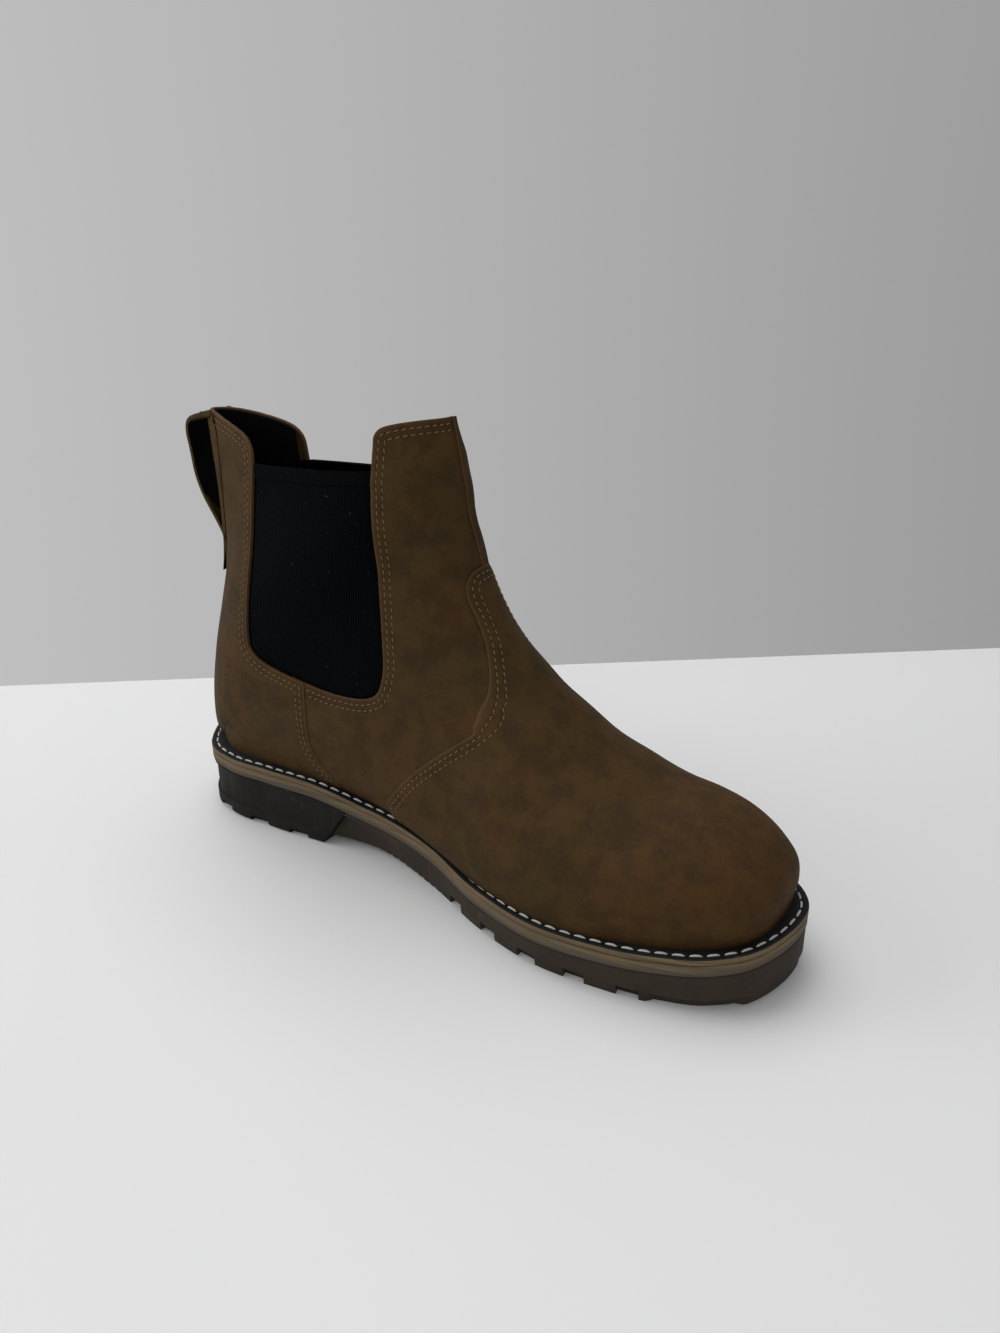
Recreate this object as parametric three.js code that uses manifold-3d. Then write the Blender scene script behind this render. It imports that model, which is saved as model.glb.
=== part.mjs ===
// Pull-on side gore work boot, a left boot, standing empty on its heel and forefoot.
// Millimetres: +X to the toe, +Y to the outer side of the foot, +Z up, floor at zero.
import * as THREE from 'three';
import { mergeVertices } from 'three/addons/utils/BufferGeometryUtils.js';
import Module from 'manifold-3d';

const wasm = await Module();
wasm.setup();

// Overall sizes
const bootLength = 310;
const ballWidth = 108;
const upperRise = 172;
const heelLift = 30;
const heelCup = 2.6;
const foreLift = 19.7;
const toeSpring = 8;

// Layers and clearances
const fitGap = 0.3;
const upperWall = 2.6;
const vampStep = 1.2;
const counterStep = 0.6;
const frontStripStep = 0.9;
const frontStripWidth = 7;
const goreRecess = 0.8;
const goreThickness = 1.5;
const seatInset = 10;
const weltThickness = 2.6;
const weltWidth = 16;
const weltEdge = 0.7;
const midsoleThickness = 5;
const midsoleEdge = 0.5;
const insoleThickness = 3;

// Outsole
const waistLift = 4.4;
const treadToeLift = 2.6;
const waistRimDepth = 2.2;
const treadInset = 0.5;
const waistTreadInset = 3;
const toeTreadInset = 2.2;
const treadDraft = 0.8;
const rimDraft = 0.8;
const lugWidth = 13;
const lugGap = 9;
const lugHeight = 4.5;
const lugReach = 4;
const ribPitch = 4.2;
const ribDepth = 1.4;
const chevronPitch = 23;
const chevronWidth = 5;
const chevronReach = 21;
const chevronSweep = 13;

// Heel
const heelLength = 89.6;
const breastSlope = 0.7;
const heelEdge = 1.2;
const heelPanelRecess = 1.1;
const heelPanelBottom = 7.5;
const heelPanelTop = 1.6;
const heelPanelFront = 9;
const heelNotchDepth = 3.2;
const heelNotchWidth = 11;
const heelNotchReach = 3.4;

// Pull loop strap
const strapWidth = 19;
const strapThickness = 2.1;

// A table of rows under its column names
function table(columns, rows) {
  const names = columns.split(' ');
  return rows.map((row) => Object.fromEntries(names.map((name, i) => [name, row[i]])));
}

// Sole outline: half widths inside and outside the boot's axis, as shares of the ball width.
const soleOutline = table('at inner outer', [
  [0.02, 0.162, 0.139],
  [0.05, 0.262, 0.222],
  [0.1, 0.32, 0.296],
  [0.18, 0.322, 0.338],
  [0.3, 0.292, 0.361],
  [0.4, 0.265, 0.389],
  [0.5, 0.305, 0.435],
  [0.6, 0.419, 0.5],
  [0.7, 0.489, 0.509],
  [0.8, 0.478, 0.454],
  [0.88, 0.433, 0.361],
  [0.94, 0.36, 0.264],
  [0.98, 0.236, 0.157],
]);

// Sections of the last, fan planes from the front line to the back line. X as shares of the boot
// length, rises above the last's foot as shares of the upper's rise, the front ridge's sideways place
// and the half widths as shares of the ball width. Then where along the plane it is widest, and how
// full it is before that on each side and after it. Seat 1 ends on the insole, seat 0 closes.
const lastRows = table(
  'at frontX front backX back ridge inner outer widest crownIn crownOut tuck seat',
  [
    ['toe tip', 0.970, -0.020, 0.970, -0.020, 0.000, 0.000, 0.000, 0.50, 2.00, 2.00, 2.00, 0],
    ['toe foot', 0.974, 0.029, 0.963, -0.020, 0.000, 0.134, 0.102, 0.60, 2.00, 2.00, 2.00, 1],
    ['toe nose', 0.976, 0.070, 0.952, -0.020, 0.000, 0.211, 0.157, 0.62, 2.05, 2.00, 2.05, 1],
    ['toe front', 0.971, 0.109, 0.934, -0.020, 0.000, 0.274, 0.209, 0.64, 2.15, 2.00, 2.10, 1],
    ['toe round', 0.955, 0.143, 0.910, -0.020, 0.000, 0.322, 0.259, 0.66, 2.20, 2.00, 2.15, 1],
    ['toe cap', 0.931, 0.177, 0.876, -0.020, 0.000, 0.367, 0.311, 0.69, 2.25, 2.05, 2.20, 1],
    ['toe box', 0.897, 0.209, 0.835, -0.020, 0.000, 0.402, 0.361, 0.71, 2.30, 2.05, 2.50, 1],
    ['toe break', 0.855, 0.231, 0.794, -0.020, 0.000, 0.430, 0.406, 0.73, 2.30, 2.00, 2.80, 1],
    ['tread', 0.806, 0.249, 0.752, -0.020, 0.000, 0.452, 0.444, 0.75, 2.20, 1.90, 2.80, 1],
    ['ball', 0.752, 0.288, 0.703, -0.020, 0.002, 0.456, 0.466, 0.77, 2.05, 1.80, 2.80, 1],
    ['vamp', 0.697, 0.343, 0.655, -0.020, 0.006, 0.440, 0.466, 0.77, 1.95, 1.70, 2.80, 1],
    ['vamp back', 0.642, 0.414, 0.606, -0.020, 0.012, 0.411, 0.446, 0.77, 1.90, 1.65, 2.60, 1],
    ['instep', 0.597, 0.488, 0.529, -0.020, 0.018, 0.362, 0.412, 0.77, 1.90, 1.65, 2.00, 1],
    ['waist', 0.560, 0.554, 0.442, -0.020, 0.023, 0.335, 0.376, 0.76, 1.95, 1.70, 1.60, 1],
    ['arch', 0.532, 0.627, 0.348, -0.020, 0.027, 0.325, 0.352, 0.74, 2.00, 1.80, 1.40, 1],
    ['seat front', 0.516, 0.697, 0.245, -0.020, 0.030, 0.322, 0.340, 0.70, 2.05, 1.90, 1.40, 1],
    ['seat', 0.505, 0.763, 0.135, -0.020, 0.030, 0.319, 0.331, 0.66, 2.10, 2.00, 1.50, 1],
    ['seat back', 0.498, 0.809, 0.055, -0.020, 0.030, 0.317, 0.326, 0.62, 2.15, 2.00, 1.90, 1],
    ['heel corner', 0.495, 0.831, 0.022, 0.000, 0.030, 0.316, 0.324, 0.60, 2.20, 2.05, 2.45, 1],
    ['heel curve', 0.493, 0.854, 0.016, 0.110, 0.030, 0.316, 0.324, 0.55, 2.20, 2.05, 2.45, 0],
    ['heel top', 0.490, 0.886, 0.027, 0.262, 0.030, 0.310, 0.312, 0.50, 2.20, 2.05, 2.30, 0],
    ['ankle', 0.486, 0.917, 0.043, 0.407, 0.030, 0.298, 0.294, 0.45, 2.15, 2.00, 2.10, 0],
    ['shaft low', 0.483, 0.952, 0.054, 0.552, 0.030, 0.275, 0.262, 0.40, 2.10, 1.90, 1.85, 0],
    ['shaft', 0.479, 0.987, 0.052, 0.703, 0.030, 0.250, 0.215, 0.35, 2.05, 1.75, 1.75, 0],
    ['collar', 0.475, 1.022, 0.045, 0.848, 0.030, 0.230, 0.182, 0.31, 2.00, 1.65, 1.70, 0],
    ['above collar', 0.471, 1.062, 0.040, 1.012, 0.030, 0.222, 0.172, 0.29, 2.00, 1.65, 1.70, 0],
  ],
);

// Side view outlines: x as shares of the boot length, rise as shares of the upper's rise.
const goreWindow = table('x rise', [
  [0.175, 0.82],
  [0.173, 0.753],
  [0.173, 0.652],
  [0.174, 0.564],
  [0.173, 0.448],
  [0.174, 0.398],
  [0.179, 0.367],
  [0.205, 0.338],
  [0.258, 0.32],
  [0.314, 0.315],
  [0.359, 0.323],
  [0.394, 0.34],
  [0.414, 0.369],
  [0.421, 0.43],
  [0.417, 0.502],
  [0.41, 0.597],
  [0.406, 0.72],
  [0.403, 0.839],
  [0.401, 0.877],
]);
const goreTop = table('x inner outer', [
  [0.1, 0.834, 0.821],
  [0.45, 0.922, 0.858],
]);
const backCollar = table('x rise', [
  [-0.065, 0.952],
  [0.026, 0.952],
  [0.071, 0.949],
  [0.119, 0.933],
  [0.154, 0.914],
  [0.17, 0.891],
  [0.176, 0.858],
  [0.184, 0.802],
]);
const frontCollar = table('x rise', [
  [0.39, 0.828],
  [0.399, 0.946],
  [0.401, 0.979],
  [0.409, 1.002],
  [0.427, 1.017],
  [0.452, 1.03],
  [0.474, 1.037],
  [0.516, 1.044],
  [0.6, 1.05],
]);
const vampSeam = table('x rise', [
  [0.413, -0.086],
  [0.43, 0.077],
  [0.442, 0.111],
  [0.478, 0.198],
  [0.525, 0.283],
  [0.566, 0.347],
  [0.588, 0.395],
  [0.592, 0.426],
]);
const counterSeam = table('x rise', [
  [0.283, 0.353],
  [0.284, 0.179],
  [0.285, 0.141],
  [0.291, 0.11],
  [0.303, 0.076],
  [0.315, 0.038],
  [0.332, -0.08],
]);

// The vamp's tab in front view: half width as shares of the ball width, by rise.
const vampTab = table('half rise', [
  [0.28, 0.36],
  [0.245, 0.4],
  [0.2, 0.441],
  [0.157, 0.487],
  [0.122, 0.537],
  [0.106, 0.59],
  [0.105, 0.627],
  [0.094, 0.665],
  [0.06, 0.692],
  [0.02, 0.7],
]);

// Pull loop in side view: the strap's outer face, from where it is sewn down to the top of its fold.
const strapLeg = table('x rise', [
  [0.045, 0.512],
  [0.045, 0.609],
  [0.035, 0.657],
  [0.022, 0.717],
  [0.016, 0.779],
  [0.012, 0.84],
  [0.008, 0.893],
  [0.011, 0.919],
  [0.019, 0.938],
  [0.031, 0.951],
  [0.04, 0.957],
]);

// Curves
const { clamp, lerp, smoothstep } = THREE.MathUtils;
const half = (side) => (side === 'inner' ? -1 : 1);

function spline(before, from, to, after, t) {
  const slopeFrom = (to - before) / 2;
  const slopeTo = (after - from) / 2;
  const square = t * t;
  const cube = square * t;
  return (2 * cube - 3 * square + 1) * from + (cube - 2 * square + t) * slopeFrom
    + (3 * square - 2 * cube) * to + (cube - square) * slopeTo;
}

// The same line again, in a given number of even steps
function evenSteps(points, count) {
  const run = [0];
  for (let i = 1; i < points.length; i += 1) run.push(run[i - 1] + points[i].distanceTo(points[i - 1]));
  const even = [];
  let i = 0;
  for (let k = 0; k <= count; k += 1) {
    const want = run[run.length - 1] * k / count;
    while (i < points.length - 2 && run[i + 1] < want) i += 1;
    const span = run[i + 1] - run[i];
    even.push(points[i].clone().lerp(points[i + 1], span > 0 ? (want - run[i]) / span : 0));
  }
  return even;
}

// Heights along the boot, above the floor
const shareAt = (x) => clamp(x / bootLength, 0, 1);

function lastFoot(x) {
  const springFrom = 0.68;
  const spring = Math.max(0, (shareAt(x) - springFrom) / (1 - springFrom));
  return lerp(heelLift, foreLift, smoothstep(shareAt(x), 0.22, 0.6)) + toeSpring * spring * spring;
}

// The welt cups the heel, above the foot of the last
const weltTop = (x) => lastFoot(x) + heelCup * (1 - smoothstep(shareAt(x), 0.27, 0.38));

const weltBottom = (x) => weltTop(x) - weltThickness;
const midsoleTop = (x) => weltBottom(x) - fitGap;
const midsoleBottom = (x) => midsoleTop(x) - midsoleThickness;
const rubberTop = (x) => midsoleBottom(x) - fitGap;
const upperFoot = (x) => weltTop(x) + fitGap;

function treadBottom(x) {
  const liftFrom = 0.845;
  const rise = Math.max(0, (shareAt(x) - liftFrom) / (1 - liftFrom));
  return waistLift * (1 - smoothstep(shareAt(x), 0.36, 0.54)) + treadToeLift * rise * rise;
}

function rimBottom(x) {
  const atWaist = rubberTop(x) - waistRimDepth;
  return lerp(atWaist, treadBottom(x) + lugHeight, smoothstep(shareAt(x), 0.33, 0.54));
}

// Solids
function toSolid(geometry) {
  const bare = geometry.clone();
  bare.deleteAttribute('normal');
  bare.deleteAttribute('uv');
  const merged = mergeVertices(bare, 1e-5);
  const corners = merged.index.array;
  const kept = [];
  for (let i = 0; i < corners.length; i += 3) {
    const [a, b, c] = corners.slice(i, i + 3);
    if (a !== b && b !== c && a !== c) kept.push(a, b, c);
  }
  return new wasm.Manifold(new wasm.Mesh({
    numProp: 3,
    vertProperties: merged.attributes.position.array,
    triVerts: new Uint32Array(kept),
  }));
}

function toGeometry(solid) {
  const mesh = solid.getMesh();
  const geometry = new THREE.BufferGeometry();
  geometry.setAttribute('position', new THREE.BufferAttribute(new Float32Array(mesh.vertProperties), 3));
  geometry.setIndex(new THREE.BufferAttribute(new Uint32Array(mesh.triVerts), 1));
  geometry.computeVertexNormals();
  return geometry;
}

// One ring, down its outer side and back up its inner side
const loopOf = (ring) => [...ring.outer, ...ring.inner.slice(1).reverse()];

// A closed surface through rings, capped across the two sides at both ends, or joined end to end
function loft(rings, joined = false) {
  const loops = rings.map(loopOf);
  const size = loops[0].length;
  const index = [];
  const bands = joined ? loops.length : loops.length - 1;
  for (let i = 0; i < bands; i += 1) {
    const next = (i + 1) % loops.length;
    for (let j = 0; j < size; j += 1) {
      const turn = (j + 1) % size;
      index.push(i * size + j, i * size + turn, next * size + turn);
      index.push(i * size + j, next * size + turn, next * size + j);
    }
  }
  const cap = (base, flipped) => {
    for (let j = 0; j < (size - 1) / 2; j += 1) {
      const quad = [j, j + 1, (size - j - 1) % size, (size - j) % size].map((k) => base + k);
      if (flipped) quad.reverse();
      index.push(quad[0], quad[1], quad[2], quad[0], quad[2], quad[3]);
    }
  };
  if (!joined) {
    cap(0, true);
    cap((loops.length - 1) * size, false);
  }
  const positions = loops.flat().flatMap((point) => [point.x, point.y, point.z]);
  const geometry = new THREE.BufferGeometry();
  geometry.setAttribute('position', new THREE.Float32BufferAttribute(positions, 3));
  geometry.setIndex(index);
  return geometry;
}

// Sole outline in plan
const outlineSteps = 32;

function halfWidth(side, share) {
  const end = soleOutline.length - 1;
  const fullness = (i) => {
    const row = soleOutline[clamp(i, 0, end)];
    return row[side] / Math.sqrt(row.at * (1 - row.at));
  };
  let i = 0;
  while (i < end - 1 && share > soleOutline[i + 1].at) i += 1;
  const t = clamp((share - soleOutline[i].at) / (soleOutline[i + 1].at - soleOutline[i].at), 0, 1);
  const full = spline(fullness(i - 1), fullness(i), fullness(i + 1), fullness(i + 2), t);
  return ballWidth * full * Math.sqrt(Math.max(0, share * (1 - share)));
}

// A place on the outline and its outward direction, by a turn from 0 at the heel to pi at the toe
function outlineAt(side, turn) {
  const place = (at) => {
    const share = 0.5 - 0.5 * Math.cos(clamp(at, 0, Math.PI));
    return new THREE.Vector3(bootLength * share, half(side) * halfWidth(side, share), 0);
  };
  const step = 0.02;
  const along = place(turn + step).sub(place(turn - step)).normalize();
  const outward = new THREE.Vector3(-along.y * half(side), along.x * half(side), 0);
  if (turn <= 0) outward.set(-1, 0, 0);
  if (turn >= Math.PI) outward.set(1, 0, 0);
  return { place: place(turn), outward };
}

// One side of the outline moved in, by an inset that may change along the boot
function outlineSide(side, inset, height) {
  const points = [];
  for (let i = 0; i <= outlineSteps; i += 1) {
    const { place, outward } = outlineAt(side, Math.PI * i / outlineSteps);
    const depth = typeof inset === 'function' ? inset(place.x) : inset;
    const point = place.clone().addScaledVector(outward, -depth);
    point.z = height(point.x);
    points.push(point);
  }
  return points;
}

// A sole layer: a wall profile of insets and heights carried round the outline, from its foot up
function soleLayer(profile, joined = false) {
  const rings = profile.map(({ inset, height }) => ({
    outer: outlineSide('outer', inset, height),
    inner: outlineSide('inner', inset, height),
  }));
  return toSolid(loft(rings.reverse(), joined));
}

// Half width of the upper's edge on the insole at one place along the boot, zero past its ends
const seatEdge = {
  outer: outlineSide('outer', seatInset, () => 0),
  inner: outlineSide('inner', seatInset, () => 0),
};

function seatHalf(side, x) {
  const points = seatEdge[side];
  for (let i = 1; i < points.length; i += 1) {
    const [from, to] = [points[i - 1], points[i]];
    if (x >= from.x && x <= to.x) return Math.abs(lerp(from.y, to.y, (x - from.x) / (to.x - from.x)));
  }
  return 0;
}

// The last: sections between the table's rows. The toe closes as a smooth pole, so before the
// first row the widths change sign and the front and back lines change places.
const sizeNames = Object.keys(lastRows[0]).filter((name) => name !== 'at');
const lastEnd = lastRows.length - 1;

function beyondToe(name) {
  const row = lastRows[1];
  if (name === 'inner' || name === 'outer') return -row[name];
  if (name === 'front') return row.back;
  if (name === 'back') return row.front;
  return row[name];
}

function lastRow(v) {
  const i = clamp(Math.floor(v), 0, lastEnd - 1);
  const value = (name) => {
    const [from, to] = [lastRows[i][name], lastRows[i + 1][name]];
    const before = i > 0 ? lastRows[i - 1][name] : beyondToe(name);
    const after = i + 2 <= lastEnd ? lastRows[i + 2][name] : 2 * to - from;
    return spline(before, from, to, after, v - i);
  };
  return Object.fromEntries(sizeNames.map((name) => [name, value(name)]));
}

const sidePoint = (x, rise) => (
  new THREE.Vector2(x * bootLength, lastFoot(x * bootLength) + rise * upperRise)
);

function sectionSide(row, side, count) {
  const front = sidePoint(row.frontX, row.front);
  const back = sidePoint(row.backX, row.back);
  const crown = side === 'inner' ? row.crownIn : row.crownOut;
  const wide = row[side] * ballWidth;
  const seat = Math.min(wide, clamp(row.seat, 0, 1) * seatHalf(side, back.x));
  const ridge = row.ridge * ballWidth;
  const quarter = 36;
  const dense = [];
  for (let k = 0; k <= 2 * quarter; k += 1) {
    const beyond = k > quarter;
    const angle = Math.PI / 2 * (beyond ? k - quarter : k) / quarter;
    const power = 2 / (beyond ? row.tuck : crown);
    const near = Math.max(0, Math.cos(angle)) ** power;
    const far = Math.sin(angle) ** power;
    const along = beyond ? lerp(row.widest, 1, far) : row.widest * (1 - near);
    const out = beyond ? lerp(seat, wide, near) : wide * far;
    dense.push(new THREE.Vector3(
      lerp(front.x, back.x, along),
      half(side) * out + ridge * (1 - along),
      lerp(front.y, back.y, along),
    ));
  }
  return evenSteps(dense, count);
}

function lastRing(v, count) {
  const row = lastRow(clamp(v, 0, lastEnd));
  return { outer: sectionSide(row, 'outer', count), inner: sectionSide(row, 'inner', count) };
}

const seatIsOpen = (ring, count) => ring.outer[count].distanceTo(ring.inner[count]) > 0.5;

// The last's surface moved out or in along its normals
function lastForm(offset, stations, count) {
  const reach = 0.08;
  const rings = [];
  for (let i = 0; i <= stations; i += 1) {
    const v = lastEnd * i / stations;
    const [behind, here, ahead] = [v - reach, v, v + reach].map((at) => lastRing(at, count));
    const open = seatIsOpen(here, count);
    const moved = (side) => here[side].map((point, k) => {
      if (i === 0) return point.clone().add(new THREE.Vector3(offset, 0, 0));
      const across = here[side === 'inner' ? 'outer' : 'inner'];
      const before = k > 0 ? here[side][k - 1] : across[1];
      const after = k < count ? here[side][k + 1] : across[open ? count : count - 1];
      const run = ahead[side][k].clone().sub(behind[side][k]);
      const normal = after.clone().sub(before).cross(run).normalize();
      return point.clone().addScaledVector(normal, half(side) * offset);
    });
    const ring = { outer: moved('outer'), inner: moved('inner') };
    ring.inner[0] = ring.outer[0];
    if (!open) ring.inner[count] = ring.outer[count];
    rings.push(ring);
  }
  return toSolid(loft(rings));
}

// Reaches past the boot for what cuts it, and the core at its axis that no side cut enters
const farOut = bootLength + upperRise;
const wideOut = ballWidth;
const sideCore = 8;

// A solid across the boot from an outline in side view. Its far end may fall with each step outward.
function sidePrism(points, from, to, fall = 0) {
  const shape = new THREE.Shape(points);
  const geometry = new THREE.ExtrudeGeometry(shape, { depth: to - from, bevelEnabled: false });
  geometry.rotateX(Math.PI / 2);
  geometry.translate(0, to - from, 0);
  geometry.applyMatrix4(new THREE.Matrix4().makeShear(0, 0, 0, -fall, 0, 0));
  geometry.translate(0, from, 0);
  return toSolid(geometry);
}

// A solid along the boot from an outline in front view
function frontPrism(points, from, to) {
  const shape = new THREE.Shape(points);
  const geometry = new THREE.ExtrudeGeometry(shape, { depth: to - from, bevelEnabled: false });
  geometry.rotateX(Math.PI / 2);
  geometry.rotateZ(Math.PI / 2);
  geometry.translate(from, 0, 0);
  return toSolid(geometry);
}

// A closed outline moved in by a margin
function shrink(points, margin) {
  const turning = THREE.ShapeUtils.isClockWise(points) ? 1 : -1;
  const sharpest = 0.3;
  return points.map((point, i) => {
    const before = points[(i + points.length - 1) % points.length];
    const after = points[(i + 1) % points.length];
    const arriving = point.clone().sub(before).normalize();
    const leaving = after.clone().sub(point).normalize();
    const along = arriving.clone().add(leaving).normalize();
    const spread = margin / Math.max(sharpest, along.dot(leaving));
    return new THREE.Vector2(point.x + turning * along.y * spread, point.y - turning * along.x * spread);
  });
}

const group = new THREE.Group();
const brownLeather = { color: 0x6b4f31, roughness: 0.7 };
const elasticCloth = { color: 0x16181f, roughness: 0.9 };
const insoleCloth = { color: 0x2a2622, roughness: 0.9 };
const weltRubber = { color: 0x1c1b1a, roughness: 0.6 };
const midsoleTan = { color: 0x8f7a5c, roughness: 0.65 };
const soleRubber = { color: 0x4f4a43, roughness: 0.8 };

function addPart(name, solid, look) {
  const mesh = new THREE.Mesh(toGeometry(solid), new THREE.MeshStandardMaterial({ ...look, metalness: 0 }));
  mesh.name = name;
  group.add(mesh);
}

// Outlines of the panels in side view
const outlinePoints = (rows) => rows.map((row) => sidePoint(row.x, row.rise));
const at = (x, z) => new THREE.Vector2(x, z);
const firstOf = (points) => points[0];
const lastOf = (points) => points[points.length - 1];
const windowLine = outlinePoints(goreWindow);
const vampLine = outlinePoints(vampSeam);
const counterLine = outlinePoints(counterSeam);
const backCollarLine = outlinePoints(backCollar);
const frontCollarLine = outlinePoints(frontCollar);
const ridgeY = lastRows[lastEnd].ridge * ballWidth;
const tabX = 0.55 * bootLength;

// The vamp in front of its seam, with the tab up the front of the shaft
function vampRegion() {
  const corners = [at(farOut, lastOf(vampLine).y), at(farOut, firstOf(vampLine).y)];
  const side = (sign) => vampTab.map((row) => (
    at(ridgeY + sign * row.half * ballWidth, lastFoot(tabX) + row.rise * upperRise)
  ));
  const tab = frontPrism([...side(1), ...side(-1).reverse()], lastOf(windowLine).x, farOut);
  return sidePrism([...vampLine, ...corners], -wideOut, wideOut).add(tab);
}

// The quarter behind the counter seam
function counterRegion() {
  const [top, foot] = [firstOf(counterLine), lastOf(counterLine)];
  const corners = [at(-farOut, foot.y), at(-farOut, farOut), at(top.x, farOut)];
  return sidePrism([...counterLine, ...corners], -wideOut, wideOut);
}

// The lap that closes the front of the shaft, beside the ridge
function frontStripRegion() {
  const bottom = lastFoot(tabX) + 0.6 * upperRise;
  const across = ridgeY + frontStripWidth;
  const corners = [at(ridgeY, bottom), at(across, bottom), at(across, farOut), at(ridgeY, farOut)];
  return frontPrism(corners, firstOf(frontCollarLine).x, farOut);
}

// What is above the collar. The front's top falls toward the outer side.
function aboveCollar() {
  const collarFall = 0.2;
  const frontFoot = firstOf(frontCollarLine);
  const back = [...backCollarLine, frontFoot, at(frontFoot.x, farOut), at(-farOut, farOut)];
  const front = [...frontCollarLine, at(farOut, farOut), at(frontFoot.x, farOut)];
  return sidePrism(back, -wideOut, wideOut)
    .add(sidePrism(front, -wideOut, ridgeY + fitGap))
    .add(sidePrism(front, ridgeY, wideOut, collarFall));
}

// The two gore windows, open at the collar
const windowOutline = [at(firstOf(windowLine).x, farOut), ...windowLine, at(lastOf(windowLine).x, farOut)];

function goreWindows() {
  return sidePrism(windowOutline, sideCore, wideOut).add(sidePrism(windowOutline, -wideOut, -sideCore));
}

// Upper: one hollow shell with its overlapping panels as steps in the wall
const outerForm = (offset) => lastForm(offset, 34, 15);
const innerForm = (offset) => lastForm(offset, 28, 12);
const belowWelt = soleLayer([
  { inset: -seatInset, height: () => -farOut },
  { inset: -seatInset, height: upperFoot },
]);
const upper = outerForm(0)
  .add(outerForm(vampStep).intersect(vampRegion()))
  .add(outerForm(counterStep).intersect(counterRegion()))
  .add(outerForm(frontStripStep).intersect(frontStripRegion()))
  .subtract(innerForm(-upperWall))
  .subtract(belowWelt)
  .subtract(aboveCollar())
  .subtract(goreWindows());
addPart('upper', upper, brownLeather);

// Elastic gores, set in their windows
const goreForm = (offset) => lastForm(offset, 22, 10);
const goreSheet = goreForm(-goreRecess).subtract(goreForm(-goreRecess - goreThickness));

function gore(side, from, to) {
  const top = goreTop.map((row) => sidePoint(row.x, row[side]));
  const belowTop = sidePrism([...top, at(lastOf(top).x, 0), at(firstOf(top).x, 0)], from, to);
  const window = sidePrism(shrink(windowOutline, fitGap), from, to);
  return goreSheet.intersect(window).intersect(belowTop);
}
addPart('gore_inner', gore('inner', -wideOut, -sideCore), elasticCloth);
addPart('gore_outer', gore('outer', sideCore, wideOut), elasticCloth);

// Insole: a plate that fills the upper at its foot, on a filler that the welt runs round
const insolePlate = soleLayer([
  { inset: 0, height: upperFoot },
  { inset: 0, height: (x) => upperFoot(x) + insoleThickness },
]).intersect(innerForm(-upperWall - fitGap));
const insoleFiller = soleLayer([
  { inset: weltWidth + fitGap, height: (x) => midsoleTop(x) + fitGap },
  { inset: weltWidth + fitGap, height: (x) => upperFoot(x) + insoleThickness / 2 },
]);
addPart('insole', insolePlate.add(insoleFiller), insoleCloth);

// Welt ring and midsole
addPart('welt', soleLayer([
  { inset: weltWidth, height: weltBottom },
  { inset: 0, height: weltBottom },
  { inset: 0, height: (x) => weltTop(x) - weltEdge },
  { inset: weltEdge, height: weltTop },
  { inset: weltWidth, height: weltTop },
], true), weltRubber);
addPart('midsole', soleLayer([
  { inset: midsoleEdge, height: midsoleBottom },
  { inset: 0, height: (x) => midsoleBottom(x) + 2 * midsoleEdge },
  { inset: 0, height: (x) => midsoleTop(x) - 2 * midsoleEdge },
  { inset: midsoleEdge, height: midsoleTop },
]), midsoleTan);

// The heel breast, a slanted line in side view that parts the heel from the sole
const breastAt = (z, shift) => at(heelLength + shift + breastSlope * z, z);

function behindBreast(shift) {
  const [low, high] = [breastAt(-heelLift, shift), breastAt(2 * heelLift, shift)];
  return sidePrism([low, high, at(-farOut, high.y), at(-farOut, low.y)], -wideOut, wideOut);
}

// A block across the sole's edge, reaching in from outside it
function edgeBlock(side, share, width, reach, bottom, top) {
  const { place, outward } = outlineAt(side, Math.acos(1 - 2 * share));
  const overhang = 4;
  const geometry = new THREE.BoxGeometry(reach + overhang, width, top - bottom);
  geometry.rotateZ(Math.atan2(outward.y, outward.x));
  const centre = place.clone().addScaledVector(outward, (overhang - reach) / 2);
  geometry.translate(centre.x, centre.y, (top + bottom) / 2);
  return toSolid(geometry);
}

// Outsole: a rim that follows the midsole, and a tread set in from it at the waist
const deepCut = 6;

function rim() {
  return soleLayer([
    { inset: rimDraft, height: rimBottom },
    { inset: 0.3 * rimDraft, height: (x) => rimBottom(x) + rimDraft },
    { inset: 0.5 * rimDraft, height: rubberTop },
  ]);
}

function ribGroove(x) {
  const z = rimBottom(x);
  const flank = ribPitch * 0.36;
  const foot = z - 2 * ribDepth;
  const outline = [at(x - 2 * flank, foot), at(x + 2 * flank, foot), at(x, z + ribDepth)];
  return sidePrism(outline, -wideOut, wideOut);
}

function tread() {
  const inset = (x) => {
    const share = shareAt(x);
    const atToe = smoothstep(share, 0.855, 0.875) * (1 - smoothstep(share, 0.955, 0.975));
    return lerp(waistTreadInset, treadInset, smoothstep(share, 0.35, 0.5)) + toeTreadInset * atToe;
  };
  return soleLayer([
    { inset: (x) => inset(x) + treadDraft, height: treadBottom },
    { inset, height: (x) => rubberTop(x) - fitGap },
  ]);
}

// A V-shaped groove across the tread, pointing to the toe
function chevron(x) {
  const outline = [
    at(x, 0),
    at(x - chevronSweep, chevronReach),
    at(x - chevronSweep - chevronWidth, chevronReach),
    at(x - chevronWidth, 0),
    at(x - chevronSweep - chevronWidth, -chevronReach),
    at(x - chevronSweep, -chevronReach),
  ];
  const settings = { depth: deepCut + lugHeight, bevelEnabled: false };
  const geometry = new THREE.ExtrudeGeometry(new THREE.Shape(outline), settings);
  geometry.translate(0, 0, treadBottom(x) - deepCut);
  return toSolid(geometry);
}

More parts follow.
